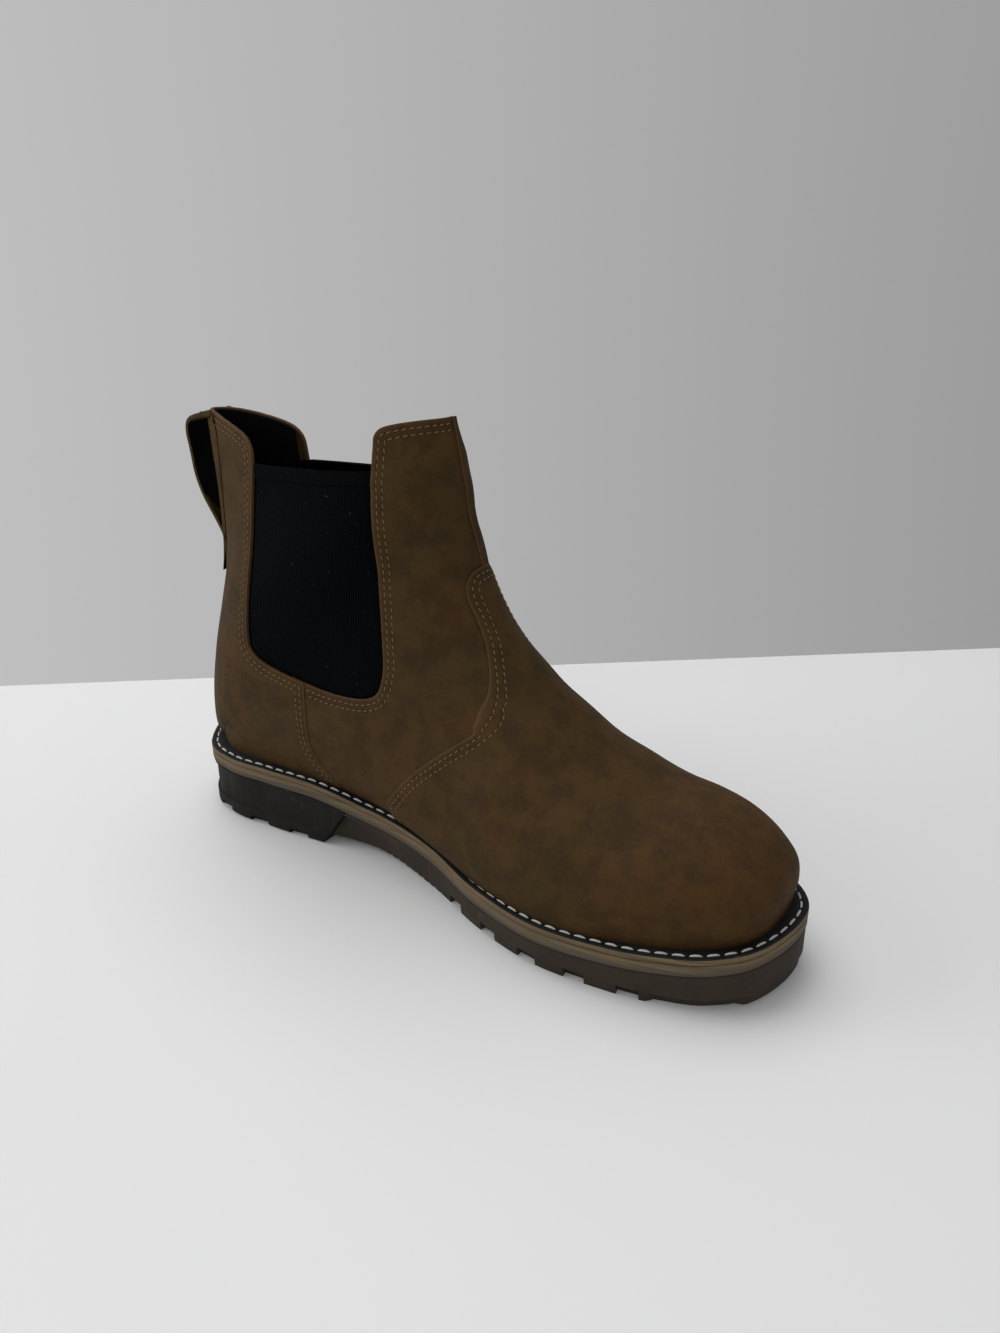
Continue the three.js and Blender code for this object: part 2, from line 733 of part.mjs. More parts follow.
function outsole() {
  const ribsTo = 0.53 * bootLength;
  const [lugsFrom, lugsTo] = [0.554, 0.86];
  const [chevronsFrom, chevronsTo] = [0.58 * bootLength, 0.92 * bootLength];
  let sole = rim();
  for (let x = heelLength + 2 * ribPitch; x < ribsTo; x += ribPitch) sole = sole.subtract(ribGroove(x));
  sole = sole.add(tread());
  for (let share = lugsFrom; share < lugsTo; share += (lugWidth + lugGap) / bootLength) {
    const bottom = treadBottom(share * bootLength);
    for (const side of ['inner', 'outer']) {
      sole = sole.subtract(edgeBlock(side, share, lugGap, lugReach, bottom - deepCut, bottom + lugHeight));
    }
  }
  for (let x = chevronsFrom; x < chevronsTo; x += chevronPitch) sole = sole.subtract(chevron(x));
  return sole.subtract(behindBreast(fitGap));
}
addPart('outsole', outsole(), soleRubber);

// Heel block, with a sunk panel round its back and sides
function heelPanel() {
  const [low, high] = [breastAt(0, -heelPanelFront), breastAt(2 * heelLift, -heelPanelFront)];
  const behind = sidePrism([low, high, at(-farOut, high.y), at(-farOut, low.y)], -wideOut, wideOut);
  const top = (x) => rubberTop(x) - heelPanelTop;
  const outside = -4;
  const lip = 0.8;
  return soleLayer([
    { inset: heelPanelRecess, height: () => heelPanelBottom },
    { inset: outside, height: () => heelPanelBottom - lip },
    { inset: outside, height: (x) => top(x) + lip },
    { inset: heelPanelRecess, height: top },
  ], true).intersect(behind);
}

function heel() {
  let block = soleLayer([
    { inset: heelEdge + 0.5 * rimDraft, height: () => 0 },
    { inset: 0.5 * rimDraft, height: () => heelEdge },
    { inset: 0.5 * rimDraft, height: rubberTop },
  ]).intersect(behindBreast(0)).subtract(heelPanel());
  for (const share of [0.085, 0.166, 0.245]) {
    for (const side of ['inner', 'outer']) {
      const notch = edgeBlock(side, share, heelNotchWidth, heelNotchReach, -deepCut, heelNotchDepth);
      block = block.subtract(notch);
    }
  }
  return block;
}
addPart('heel', heel(), soleRubber);

// Pull loop: one strap folded on itself, its inner leg on the back of the shaft and its outer leg off it
function shaftBack(z) {
  let v = lastRows.findIndex((row) => row.at === 'heel top');
  while (v < lastEnd && sidePoint(lastRow(v).backX, lastRow(v).back).y < z) v += 0.05;
  return lastRow(v).backX * bootLength - counterStep - fitGap;
}

function pullLoop() {
  const outside = outlinePoints(strapLeg);
  const foldTop = lastOf(outside).y - strapThickness / 3;
  const layerSteps = 8;
  const layer = [];
  for (let i = layerSteps; i >= 0; i -= 1) {
    const z = lerp(firstOf(outside).y, foldTop, i / layerSteps);
    layer.push(at(shaftBack(z), z));
  }
  const ring = [...outside, ...layer];
  const inside = shrink(ring, strapThickness);
  const legApart = (point) => shaftBack(point.y) - strapThickness - point.x > 2 * fitGap;
  const leg = inside.slice(0, outside.length).filter(legApart);
  const lowest = Math.min(...leg.map((point) => point.y));
  const highest = Math.max(...leg.map((point) => point.y)) - strapThickness / 2;
  const back = inside.slice(outside.length).filter((point) => point.y > lowest && point.y < highest);
  const shape = new THREE.Shape(ring.slice().reverse());
  shape.holes.push(new THREE.Path([...leg, ...back]));
  const geometry = new THREE.ExtrudeGeometry(shape, { depth: strapWidth, bevelEnabled: false });
  geometry.rotateX(Math.PI / 2);
  geometry.translate(0, strapWidth / 2, 0);
  return toSolid(geometry);
}
addPart('pull_loop', pullLoop(), brownLeather);

// The origin stands on the floor under the middle of the boot's box
group.updateMatrixWorld(true);
const box = new THREE.Box3().setFromObject(group);
const centre = box.getCenter(new THREE.Vector3());
group.position.set(-centre.x, -centre.y, -box.min.z);

export default group;
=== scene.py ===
# Side gore work boot, left foot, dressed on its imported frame. Lengths are millimetres unless noted.
import math

import bpy
import numpy as np
from mathutils import Matrix, Vector


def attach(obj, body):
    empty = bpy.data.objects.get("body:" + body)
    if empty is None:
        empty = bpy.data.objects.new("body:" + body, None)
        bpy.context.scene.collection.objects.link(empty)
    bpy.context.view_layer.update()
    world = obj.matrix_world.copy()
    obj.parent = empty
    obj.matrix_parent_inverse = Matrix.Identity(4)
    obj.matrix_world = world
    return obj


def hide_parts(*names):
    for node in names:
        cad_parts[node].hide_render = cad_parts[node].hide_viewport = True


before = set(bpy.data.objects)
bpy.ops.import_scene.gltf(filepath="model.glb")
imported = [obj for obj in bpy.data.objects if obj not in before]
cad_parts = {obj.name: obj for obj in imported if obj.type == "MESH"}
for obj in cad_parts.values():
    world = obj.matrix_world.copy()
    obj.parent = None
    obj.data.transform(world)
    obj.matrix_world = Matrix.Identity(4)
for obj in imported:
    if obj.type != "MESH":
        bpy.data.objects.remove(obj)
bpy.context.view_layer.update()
print("frame loaded")

boot = {
    "length": 310,
    "ballWidth": 108,
    "upperRise": 172,
    "heelLift": 30,
    "heelCup": 2.6,
    "foreLift": 19.7,
    "toeSpring": 8,
    "springFrom": 0.68,
    "archSpan": (0.22, 0.6),
    "cupSpan": (0.27, 0.38),
    "tabAt": 0.55,
    "tabBlend": 3,
    "seatInset": 10,
    "footGap": 0.3,
    "axisAt": (-155, -0.9877, 0),  # from the heel's back on the axis to the frame's origin
}
inner, outer = 0, 1
sideSign = (-1, 1)

# Sole outline: share of the length, then half widths inside and outside the axis as shares of the ball
soleOutline = np.array([
    (0.02, 0.162, 0.139),
    (0.05, 0.262, 0.222),
    (0.1, 0.32, 0.296),
    (0.18, 0.322, 0.338),
    (0.3, 0.292, 0.361),
    (0.4, 0.265, 0.389),
    (0.5, 0.305, 0.435),
    (0.6, 0.419, 0.5),
    (0.7, 0.489, 0.509),
    (0.8, 0.478, 0.454),
    (0.88, 0.433, 0.361),
    (0.94, 0.36, 0.264),
    (0.98, 0.236, 0.157),
])

# Last sections from the toe tip to above the collar. Columns: front x, front rise, back x, back rise,
# ridge, inner half, outer half, widest, inner crown, outer crown, tuck, seat
lastRows = np.array([
    (0.970, -0.020, 0.970, -0.020, 0.000, 0.000, 0.000, 0.50, 2.00, 2.00, 2.00, 0),
    (0.974, 0.029, 0.963, -0.020, 0.000, 0.134, 0.102, 0.60, 2.00, 2.00, 2.00, 1),
    (0.976, 0.070, 0.952, -0.020, 0.000, 0.211, 0.157, 0.62, 2.05, 2.00, 2.05, 1),
    (0.971, 0.109, 0.934, -0.020, 0.000, 0.274, 0.209, 0.64, 2.15, 2.00, 2.10, 1),
    (0.955, 0.143, 0.910, -0.020, 0.000, 0.322, 0.259, 0.66, 2.20, 2.00, 2.15, 1),
    (0.931, 0.177, 0.876, -0.020, 0.000, 0.367, 0.311, 0.69, 2.25, 2.05, 2.20, 1),
    (0.897, 0.209, 0.835, -0.020, 0.000, 0.402, 0.361, 0.71, 2.30, 2.05, 2.50, 1),
    (0.855, 0.231, 0.794, -0.020, 0.000, 0.430, 0.406, 0.73, 2.30, 2.00, 2.80, 1),
    (0.806, 0.249, 0.752, -0.020, 0.000, 0.452, 0.444, 0.75, 2.20, 1.90, 2.80, 1),
    (0.752, 0.288, 0.703, -0.020, 0.002, 0.456, 0.466, 0.77, 2.05, 1.80, 2.80, 1),
    (0.697, 0.343, 0.655, -0.020, 0.006, 0.440, 0.466, 0.77, 1.95, 1.70, 2.80, 1),
    (0.642, 0.414, 0.606, -0.020, 0.012, 0.411, 0.446, 0.77, 1.90, 1.65, 2.60, 1),
    (0.597, 0.488, 0.529, -0.020, 0.018, 0.362, 0.412, 0.77, 1.90, 1.65, 2.00, 1),
    (0.560, 0.554, 0.442, -0.020, 0.023, 0.335, 0.376, 0.76, 1.95, 1.70, 1.60, 1),
    (0.532, 0.627, 0.348, -0.020, 0.027, 0.325, 0.352, 0.74, 2.00, 1.80, 1.40, 1),
    (0.516, 0.697, 0.245, -0.020, 0.030, 0.322, 0.340, 0.70, 2.05, 1.90, 1.40, 1),
    (0.505, 0.763, 0.135, -0.020, 0.030, 0.319, 0.331, 0.66, 2.10, 2.00, 1.50, 1),
    (0.498, 0.809, 0.055, -0.020, 0.030, 0.317, 0.326, 0.62, 2.15, 2.00, 1.90, 1),
    (0.495, 0.831, 0.022, 0.000, 0.030, 0.316, 0.324, 0.60, 2.20, 2.05, 2.45, 1),
    (0.493, 0.854, 0.016, 0.110, 0.030, 0.316, 0.324, 0.55, 2.20, 2.05, 2.45, 0),
    (0.490, 0.886, 0.027, 0.262, 0.030, 0.310, 0.312, 0.50, 2.20, 2.05, 2.30, 0),
    (0.486, 0.917, 0.043, 0.407, 0.030, 0.298, 0.294, 0.45, 2.15, 2.00, 2.10, 0),
    (0.483, 0.952, 0.054, 0.552, 0.030, 0.275, 0.262, 0.40, 2.10, 1.90, 1.85, 0),
    (0.479, 0.987, 0.052, 0.703, 0.030, 0.250, 0.215, 0.35, 2.05, 1.75, 1.75, 0),
    (0.475, 1.022, 0.045, 0.848, 0.030, 0.230, 0.182, 0.31, 2.00, 1.65, 1.70, 0),
    (0.471, 1.062, 0.040, 1.012, 0.030, 0.222, 0.172, 0.29, 2.00, 1.65, 1.70, 0),
])

# Side view lines: x as shares of the length, rise above the welt as shares of the upper's rise
goreWindow = np.array([
    (0.175, 0.82), (0.173, 0.753), (0.173, 0.652), (0.174, 0.564), (0.173, 0.448), (0.174, 0.398),
    (0.179, 0.367), (0.205, 0.338), (0.258, 0.32), (0.314, 0.315), (0.359, 0.323), (0.394, 0.34),
    (0.414, 0.369), (0.421, 0.43), (0.417, 0.502), (0.41, 0.597), (0.406, 0.72), (0.403, 0.839),
    (0.401, 0.877),
])
backCollar = np.array([
    (-0.065, 0.952), (0.026, 0.952), (0.071, 0.949), (0.119, 0.933), (0.154, 0.914), (0.17, 0.891),
    (0.176, 0.858), (0.184, 0.802),
])
frontCollar = np.array([
    (0.39, 0.828), (0.399, 0.946), (0.401, 0.979), (0.409, 1.002), (0.427, 1.017), (0.452, 1.03),
    (0.474, 1.037), (0.516, 1.044), (0.6, 1.05),
])
vampSeam = np.array([
    (0.413, -0.086), (0.43, 0.077), (0.442, 0.111), (0.478, 0.198), (0.525, 0.283), (0.566, 0.347),
    (0.588, 0.395), (0.592, 0.426),
])
counterSeam = np.array([
    (0.283, 0.353), (0.284, 0.179), (0.285, 0.141), (0.291, 0.11), (0.303, 0.076), (0.315, 0.038),
    (0.332, -0.08),
])
goreTop = np.array([(0.1, 0.834, 0.821), (0.45, 0.922, 0.858)])  # x, then the rise inside and outside
# The vamp's tab from the front: half width as shares of the ball, by rise
vampTab = np.array([
    (0.28, 0.36), (0.245, 0.4), (0.2, 0.441), (0.157, 0.487), (0.122, 0.537), (0.106, 0.59),
    (0.105, 0.627), (0.094, 0.665), (0.06, 0.692), (0.02, 0.7),
])
# The pull loop's outer face from the side, from where it is sewn to the top of its fold
strapLeg = np.array([
    (0.045, 0.512), (0.045, 0.609), (0.035, 0.657), (0.022, 0.717), (0.016, 0.779), (0.012, 0.84),
    (0.008, 0.893), (0.011, 0.919), (0.019, 0.938), (0.031, 0.951), (0.04, 0.957),
])


def ease(value, start, end):
    share = np.clip((np.asarray(value, float) - start) / (end - start), 0, 1)
    return share * share * (3 - 2 * share)


def curveThrough(before, start, end, after, t):
    slopeIn, slopeOut = (end - before) / 2, (after - start) / 2
    return ((2 * t ** 3 - 3 * t ** 2 + 1) * start + (t ** 3 - 2 * t ** 2 + t) * slopeIn
            + (3 * t ** 2 - 2 * t ** 3) * end + (t ** 3 - t ** 2) * slopeOut)


def shareAt(x):
    return np.clip(np.asarray(x, float) / boot["length"], 0, 1)


def lastFoot(x):
    spring = np.maximum(0, (shareAt(x) - boot["springFrom"]) / (1 - boot["springFrom"]))
    arch = ease(shareAt(x), *boot["archSpan"])
    return boot["heelLift"] + (boot["foreLift"] - boot["heelLift"]) * arch + boot["toeSpring"] * spring ** 2


def weltTop(x):
    return lastFoot(x) + boot["heelCup"] * (1 - ease(shareAt(x), *boot["cupSpan"]))


def toFrame(points):
    return (np.asarray(points, float) + boot["axisAt"]) * 0.001


def sideLine(rows):
    x = rows[:, 0] * boot["length"]
    return np.stack([x, lastFoot(x) + rows[:, 1] * boot["upperRise"]], 1)


def soften(line, steps=6):
    padded = np.concatenate([2 * line[:1] - line[1:2], line, 2 * line[-1:] - line[-2:-1]])
    t = np.linspace(0, 1, steps, endpoint=False)[:, None]
    spans = [curveThrough(*padded[i:i + 4], t) for i in range(len(line) - 1)]
    return np.concatenate([*spans, line[-1:]])


def pathLength(line):
    return np.concatenate([[0], np.cumsum(np.linalg.norm(np.diff(line, axis=0), axis=1))])


def evenLine(line, count):
    run = pathLength(line)
    want = np.linspace(0, run[-1], count)
    return np.stack([np.interp(want, run, line[:, k]) for k in range(line.shape[1])], 1)


# Sole outline in plan
def soleHalf(side, share):
    at = soleOutline[:, 0]
    full = soleOutline[:, 1 + side] / np.sqrt(at * (1 - at))
    padded = np.concatenate([full[:1], full, full[-1:]])
    i = np.clip(np.searchsorted(at, share) - 1, 0, len(at) - 2)
    t = np.clip((share - at[i]) / (at[i + 1] - at[i]), 0, 1)
    fullness = curveThrough(padded[i], padded[i + 1], padded[i + 2], padded[i + 3], t)
    return boot["ballWidth"] * fullness * np.sqrt(np.maximum(0, share * (1 - share)))


def soleSide(side, inset, steps):
    def place(turn):
        share = 0.5 - 0.5 * np.cos(np.clip(turn, 0, math.pi))
        return np.stack([boot["length"] * share, sideSign[side] * soleHalf(side, share)], 1)

    turn = np.linspace(0, math.pi, steps + 1)
    along = place(turn + 0.02) - place(turn - 0.02)
    along /= np.linalg.norm(along, axis=1)[:, None]
    outward = np.stack([-along[:, 1], along[:, 0]], 1) * sideSign[side]
    outward[0], outward[-1] = (-1, 0), (1, 0)
    edge = place(turn)
    depth = inset(edge[:, 0]) if callable(inset) else inset
    return edge - outward * np.broadcast_to(depth, len(edge))[:, None]


seatEdges = [soleSide(side, boot["seatInset"], 32) for side in (inner, outer)]


def seatHalf(side, x):
    return np.interp(x, seatEdges[side][:, 0], np.abs(seatEdges[side][:, 1]), left=0, right=0)


# The last
def lastSizes(v):
    beyondToe = lastRows[1].copy()
    beyondToe[[1, 3]] = lastRows[1][[3, 1]]
    beyondToe[[5, 6]] = -lastRows[1][[5, 6]]
    padded = np.concatenate([[beyondToe], lastRows, [2 * lastRows[-1] - lastRows[-2]]])
    i = np.clip(np.floor(v).astype(int), 0, len(lastRows) - 2)
    return curveThrough(padded[i], padded[i + 1], padded[i + 2], padded[i + 3], (v - i)[:, None])


lastGrid = {"stations": 250, "across": 108, "arcSteps": 48, "roughStations": 400, "roughAcross": 12}


def sections(v, side, count):
    rows = lastSizes(v)
    columns = rows.T[:, :, None]
    frontX, front, backX, back, ridge, inside, outside, widest, crownIn, crownOut, tuck, seat = columns
    crown, wide = (crownIn, inside) if side == inner else (crownOut, outside)
    frontX, backX = frontX * boot["length"], backX * boot["length"]
    frontZ = lastFoot(frontX) + front * boot["upperRise"]
    backZ = lastFoot(backX) + back * boot["upperRise"]
    wide, ridge = wide * boot["ballWidth"], ridge * boot["ballWidth"]
    seatWide = np.minimum(wide, np.clip(seat, 0, 1) * seatHalf(side, backX))
    angle = np.linspace(0, math.pi / 2, lastGrid["arcSteps"] + 1)[None, :]
    rising, falling = np.sin(angle), np.maximum(0, np.cos(angle))
    alongUp = widest * (1 - falling ** (2 / crown))
    outUp = wide * rising ** (2 / crown)
    alongDown = widest + (1 - widest) * rising ** (2 / tuck)
    outDown = seatWide + (wide - seatWide) * falling ** (2 / tuck)
    along = np.concatenate([alongUp, alongDown[:, 1:]], 1)
    out = np.concatenate([outUp, outDown[:, 1:]], 1)
    dense = np.stack([
        frontX + (backX - frontX) * along,
        sideSign[side] * out + ridge * (1 - along),
        frontZ + (backZ - frontZ) * along,
    ], 2)
    return np.stack([evenLine(line, count + 1) for line in dense])


def evenStations(count):
    v = np.linspace(0, len(lastRows) - 1, lastGrid["roughStations"])
    rough = np.concatenate([sections(v, side, lastGrid["roughAcross"]) for side in (inner, outer)], 1)
    pace = np.linalg.norm(np.diff(rough, axis=0), axis=2).mean(1) + 0.25
    run = np.concatenate([[0], np.cumsum(pace)])
    return np.interp(np.linspace(0, run[-1], count), run, v)


across = lastGrid["across"]
stations = evenStations(lastGrid["stations"])
lastPoints = np.concatenate([
    sections(stations, outer, across)[:, ::-1], sections(stations, inner, across)[:, 1:],
], 1)
lastClosed = np.linalg.norm(lastPoints[:, 0] - lastPoints[:, -1], axis=1) < 0.5
beforeFirst = np.where(lastClosed[:, None], lastPoints[:, -2], 2 * lastPoints[:, 0] - lastPoints[:, 1])
afterLast = np.where(lastClosed[:, None], lastPoints[:, 1], 2 * lastPoints[:, -1] - lastPoints[:, -2])
wrapped = np.concatenate([beforeFirst[:, None], lastPoints, afterLast[:, None]], 1)
lastNormals = np.cross(np.gradient(lastPoints, axis=0), wrapped[:, 2:] - wrapped[:, :-2])
lastNormals /= np.maximum(np.linalg.norm(lastNormals, axis=2, keepdims=True), 1e-9)
lastNormals[0] = (1, 0, 0)
print("last shaped", lastPoints.shape)


# Distances on the last, positive inside the outline, measured on the surface near its edge
def segmentReach(first, second, start, end):
    span = end - start
    share = ((first - start[0]) * span[0] + (second - start[1]) * span[1]) / max(span @ span, 1e-9)
    share = np.clip(share, 0, 1)
    return np.hypot(first - start[0] - share * span[0], second - start[1] - share * span[1])


def outlineDepth(first, second, outline):
    depth = np.full(first.shape, 1e9)
    within = np.zeros(first.shape, bool)
    for start, end in zip(outline, np.roll(outline, -1, 0)):
        depth = np.minimum(depth, segmentReach(first, second, start, end))
        span = end - start
        crosses = (start[1] > second) != (end[1] > second)
        if span[1]:
            within ^= crosses & (first < start[0] + span[0] * (second - start[1]) / span[1])
    return np.where(within, depth, -depth)


def smoothUnion(one, two, radius):
    overlap = np.maximum(radius - np.abs(one - two), 0) / radius
    return np.maximum(one, two) + overlap ** 2 * radius / 4


far = boot["length"] + boot["upperRise"]
lastX, lastY, lastZ = lastPoints.transpose(2, 0, 1)
ridgeY = lastRows[-1, 4] * boot["ballWidth"]
tabX = boot["tabAt"] * boot["length"]
windowLine = soften(sideLine(goreWindow))
vampLine = soften(sideLine(vampSeam))
counterLine = soften(sideLine(counterSeam))
backCollarLine, frontCollarLine = soften(sideLine(backCollar)), soften(sideLine(frontCollar))
tabHalf, tabZ = vampTab[:, 0] * boot["ballWidth"], lastFoot(tabX) + vampTab[:, 1] * boot["upperRise"]
tabLine = soften(np.stack([tabHalf, tabZ], 1))

windowOutline = np.array([(windowLine[0, 0], far), *windowLine, (windowLine[-1, 0], far)])
collarOutline = np.array([*backCollarLine, *frontCollarLine, (far, far), (-far, far)])
vampOutline = np.array([*vampLine, (far, vampLine[-1, 1]), (far, vampLine[0, 1])])
counterOutline = np.array([*counterLine, (-far, counterLine[-1, 1]), (-far, far), (counterLine[0, 0], far)])
tabOutline = np.concatenate([tabLine, tabLine[::-1] * (-1, 1)])

# The front of the collar falls toward the outer side
collarFall = 0.2 * np.maximum(0, lastY - ridgeY) * ease(lastX, 0.25 * boot["length"], 0.35 * boot["length"])
footDepth = lastZ - weltTop(lastX) - boot["footGap"]
windowDepth = -outlineDepth(lastX, lastZ, windowOutline)
collarDepth = -outlineDepth(lastX, lastZ + collarFall, collarOutline)
counterDepth = outlineDepth(lastX, lastZ, counterOutline)
sideVampDepth = outlineDepth(lastX, lastZ, vampOutline)
tabDepth = np.where(lastX > windowLine[-1, 0], outlineDepth(lastY - ridgeY, lastZ, tabOutline), -far)
vampDepth = smoothUnion(sideVampDepth, tabDepth, boot["tabBlend"])
print("panels marked out")

# Soft troughs (positive) and ridges (negative) where the shoe bends: x and rise along each, then
# its half width and its depth
creases = [
    ([(0.52, 0.52), (0.49, 0.49), (0.45, 0.45)], 6, 0.7),
    ([(0.53, 0.46), (0.50, 0.41), (0.47, 0.37)], 7, -0.5),
    ([(0.50, 0.66), (0.46, 0.62), (0.43, 0.58)], 8, 0.6),
    ([(0.49, 0.80), (0.45, 0.78), (0.43, 0.74)], 9, 0.45),
    ([(0.62, 0.42), (0.60, 0.34), (0.57, 0.26)], 9, 0.6),
    ([(0.70, 0.33), (0.68, 0.25), (0.64, 0.16)], 10, 0.55),
    ([(0.75, 0.28), (0.73, 0.20), (0.69, 0.12)], 9, -0.4),
    ([(0.36, 0.25), (0.40, 0.21), (0.44, 0.15)], 7, 0.5),
    ([(0.20, 0.26), (0.16, 0.22), (0.10, 0.20)], 8, 0.5),
    ([(0.10, 0.62), (0.09, 0.50), (0.10, 0.40)], 9, 0.5),
    ([(0.14, 0.80), (0.13, 0.70), (0.14, 0.60)], 6, -0.35),
]


def creaseRelief():
    relief = np.zeros(lastX.shape)
    for marks, width, depth in creases:
        line = soften(sideLine(np.array(marks)))
        distance = np.full(lastX.shape, 1e9)
        for start, end in zip(line[:-1], line[1:]):
            distance = np.minimum(distance, segmentReach(lastX, lastZ, start, end))
        trough = np.exp(-(distance / width) ** 2)
        shoulder = 0.45 * np.exp(-(distance / width / 1.9) ** 2)
        relief -= depth * (trough - shoulder)
    return relief


relief = creaseRelief()


# Making pieces
def deselect():
    if bpy.context.object and bpy.context.object.mode != "OBJECT":
        bpy.ops.object.mode_set(mode="OBJECT")
    bpy.ops.object.select_all(action="DESELECT")


def activate(piece):
    deselect()
    piece.select_set(True)
    bpy.context.view_layer.objects.active = piece


def cleanShell(piece, merge=1e-5):
    activate(piece)
    bpy.ops.object.mode_set(mode="EDIT")
    bpy.ops.mesh.select_all(action="SELECT")
    bpy.ops.mesh.remove_doubles(threshold=merge)
    bpy.ops.mesh.normals_make_consistent(inside=False)
    bpy.ops.object.mode_set(mode="OBJECT")


def applyModifier(piece, kind, **settings):
    activate(piece)
    modifier = piece.modifiers.new(kind.title(), kind)
    for name, value in settings.items():
        setattr(modifier, name, value)
    bpy.ops.object.modifier_apply(modifier=modifier.name)


def smoothShade(piece, angle=40):
    activate(piece)
    bpy.ops.object.shade_smooth_by_angle(angle=math.radians(angle))


def meshPiece(name, points, faces):
    mesh = bpy.data.meshes.new(name)
    mesh.from_pydata(toFrame(points).tolist(), [], faces)
    piece = bpy.data.objects.new(name, mesh)
    bpy.context.scene.collection.objects.link(piece)
    return piece


def markPoints(piece, name, values):
    marks = piece.data.attributes.new(name, "FLOAT", "POINT")
    marks.data.foreach_set("value", values.astype(np.float32))


def gridPiece(name, points):
    rows, columns = points.shape[:2]
    deselect()
    bpy.ops.mesh.primitive_grid_add(
        x_subdivisions=columns - 1, y_subdivisions=rows - 1, size=1, location=(0, 0, 0))
    piece = bpy.context.object
    piece.name = piece.data.name = name
    piece.data.vertices.foreach_set("co", toFrame(points).astype(np.float32).ravel())
    return piece


def snapToEdge(fields, depth):
    place = fields[..., :3]
    shortest = np.full(depth.shape, 1e9)
    moved, result = fields.copy(), depth.copy()
    for axis in (0, 1):
        for step in (1, -1):
            other, otherFields = np.roll(depth, -step, axis), np.roll(fields, -step, axis)
            crosses = depth * other < 0
            border = [slice(None), slice(None)]
            border[axis] = -1 if step == 1 else 0
            crosses[tuple(border)] = False
            share = np.where(crosses, depth / np.where(crosses, depth - other, 1), 1)
            reach = share * np.linalg.norm(np.roll(place, -step, axis) - place, axis=2)
            better = crosses & (share <= 0.5) & (reach < shortest)
            moved[better] = (fields + share[..., None] * (otherFields - fields))[better]
            shortest[better] = reach[better]
            result[better] = 0
    return moved, result


def surfaceDepth(depth):
    along, aside = np.gradient(lastPoints, axis=0), np.gradient(lastPoints, axis=1)
    alongRate, asideRate = np.gradient(depth, axis=0), np.gradient(depth, axis=1)
    a, b, c = (along * along).sum(2), (along * aside).sum(2), (aside * aside).sum(2)
    slope = np.sqrt((c * alongRate ** 2 - 2 * b * alongRate * asideRate + a * asideRate ** 2)
                    / np.maximum(a * c - b * b, 1e-6))
    return depth / np.clip(slope, 0.55, 1.1)


windowDepth, collarDepth = surfaceDepth(windowDepth), surfaceDepth(collarDepth)
vampDepth, counterDepth = surfaceDepth(vampDepth), surfaceDepth(counterDepth)


def wornSurface(offset):
    return lastPoints + lastNormals * (offset + relief)[..., None]


def panel(name, offset, depth, thickness, **extras):
    names = list(extras)
    fields = np.concatenate([wornSurface(offset), np.stack([extras[key] for key in names], 2)], 2)
    fields, kept = snapToEdge(fields, depth)
    index = np.arange(kept.size).reshape(kept.shape)
    loops = [(grid[:-1, :-1], grid[1:, :-1], grid[1:, 1:], grid[:-1, 1:]) for grid in (index, kept)]
    corners, depths = np.stack(loops[0], 2), np.stack(loops[1], 2)
    whole = (depths.min(2) >= 0) & (depths.max(2) > 0)
    faces = corners[whole].tolist()
    for k in range(4):
        cut = (depths[..., k] > 0) & (depths[..., k - 2] < 0)
        faces += np.stack([corners[..., k - 1], corners[..., k], corners[..., (k + 1) % 4]], 2)[cut].tolist()
    used, packed = np.unique([corner for face in faces for corner in face], return_inverse=True)
    packed = iter(packed.tolist())
    faces = [[next(packed) for _ in face] for face in faces]
    flat = fields.reshape(-1, fields.shape[2])[used]
    piece = meshPiece(name, flat[:, :3], faces)
    for k, key in enumerate(names):
        markPoints(piece, key, flat[:, 3 + k])
    cleanShell(piece)
    applyModifier(piece, "SOLIDIFY", thickness=thickness * 0.001, offset=-1, use_even_offset=True,
                  material_offset_rim=1)
    smoothShade(piece, 50)
    print(name, len(piece.data.polygons), "faces")
    return piece


# Lines of equal depth on the worn surface, with their outward directions
def levelLines(offset, depth, level, shown):
    surface = wornSurface(offset)
    value = depth - level
    crossings, links = {}, {}

    def cross(one, two):
        key = (one, two)
        if key not in crossings and value[one] * value[two] < 0:
            share = value[one] / (value[one] - value[two])
            mixed = [grid[one] + share * (grid[two] - grid[one]) for grid in (surface, lastNormals, shown)]
            crossings[key] = mixed
        return key if key in crossings else None

    signs = value > 0
    mixedCells = np.argwhere((signs[:-1, :-1] != signs[1:, :-1]) | (signs[:-1, :-1] != signs[:-1, 1:])
                             | (signs[1:, 1:] != signs[1:, :-1]))
    for i, j in mixedCells.tolist():
        a, b, c, d = (i, j), (i, j + 1), (i + 1, j + 1), (i + 1, j)
        found = [key for key in (cross(a, b), cross(a, d), cross(b, c), cross(d, c)) if key]
        for one, two in zip(found[::2], found[1::2]):
            links.setdefault(one, []).append(two)
            links.setdefault(two, []).append(one)
    lines, seen = [], set()
    starts = sorted(links, key=lambda key: len(links[key]))
    for start in starts:
        if start in seen:
            continue
        chain, here = [], start
        while here is not None:
            seen.add(here)
            chain.append(here)
            here = next((key for key in links[here] if key not in seen), None)
        part = []
        for key in chain:
            point, normal, visible = crossings[key]
            if visible > 0:
                part.append(np.concatenate([point, normal]))
                continue
            if len(part) > 3:
                lines.append(np.array(part))
            part = []
        if len(part) > 3:
            lines.append(np.array(part))
    return lines


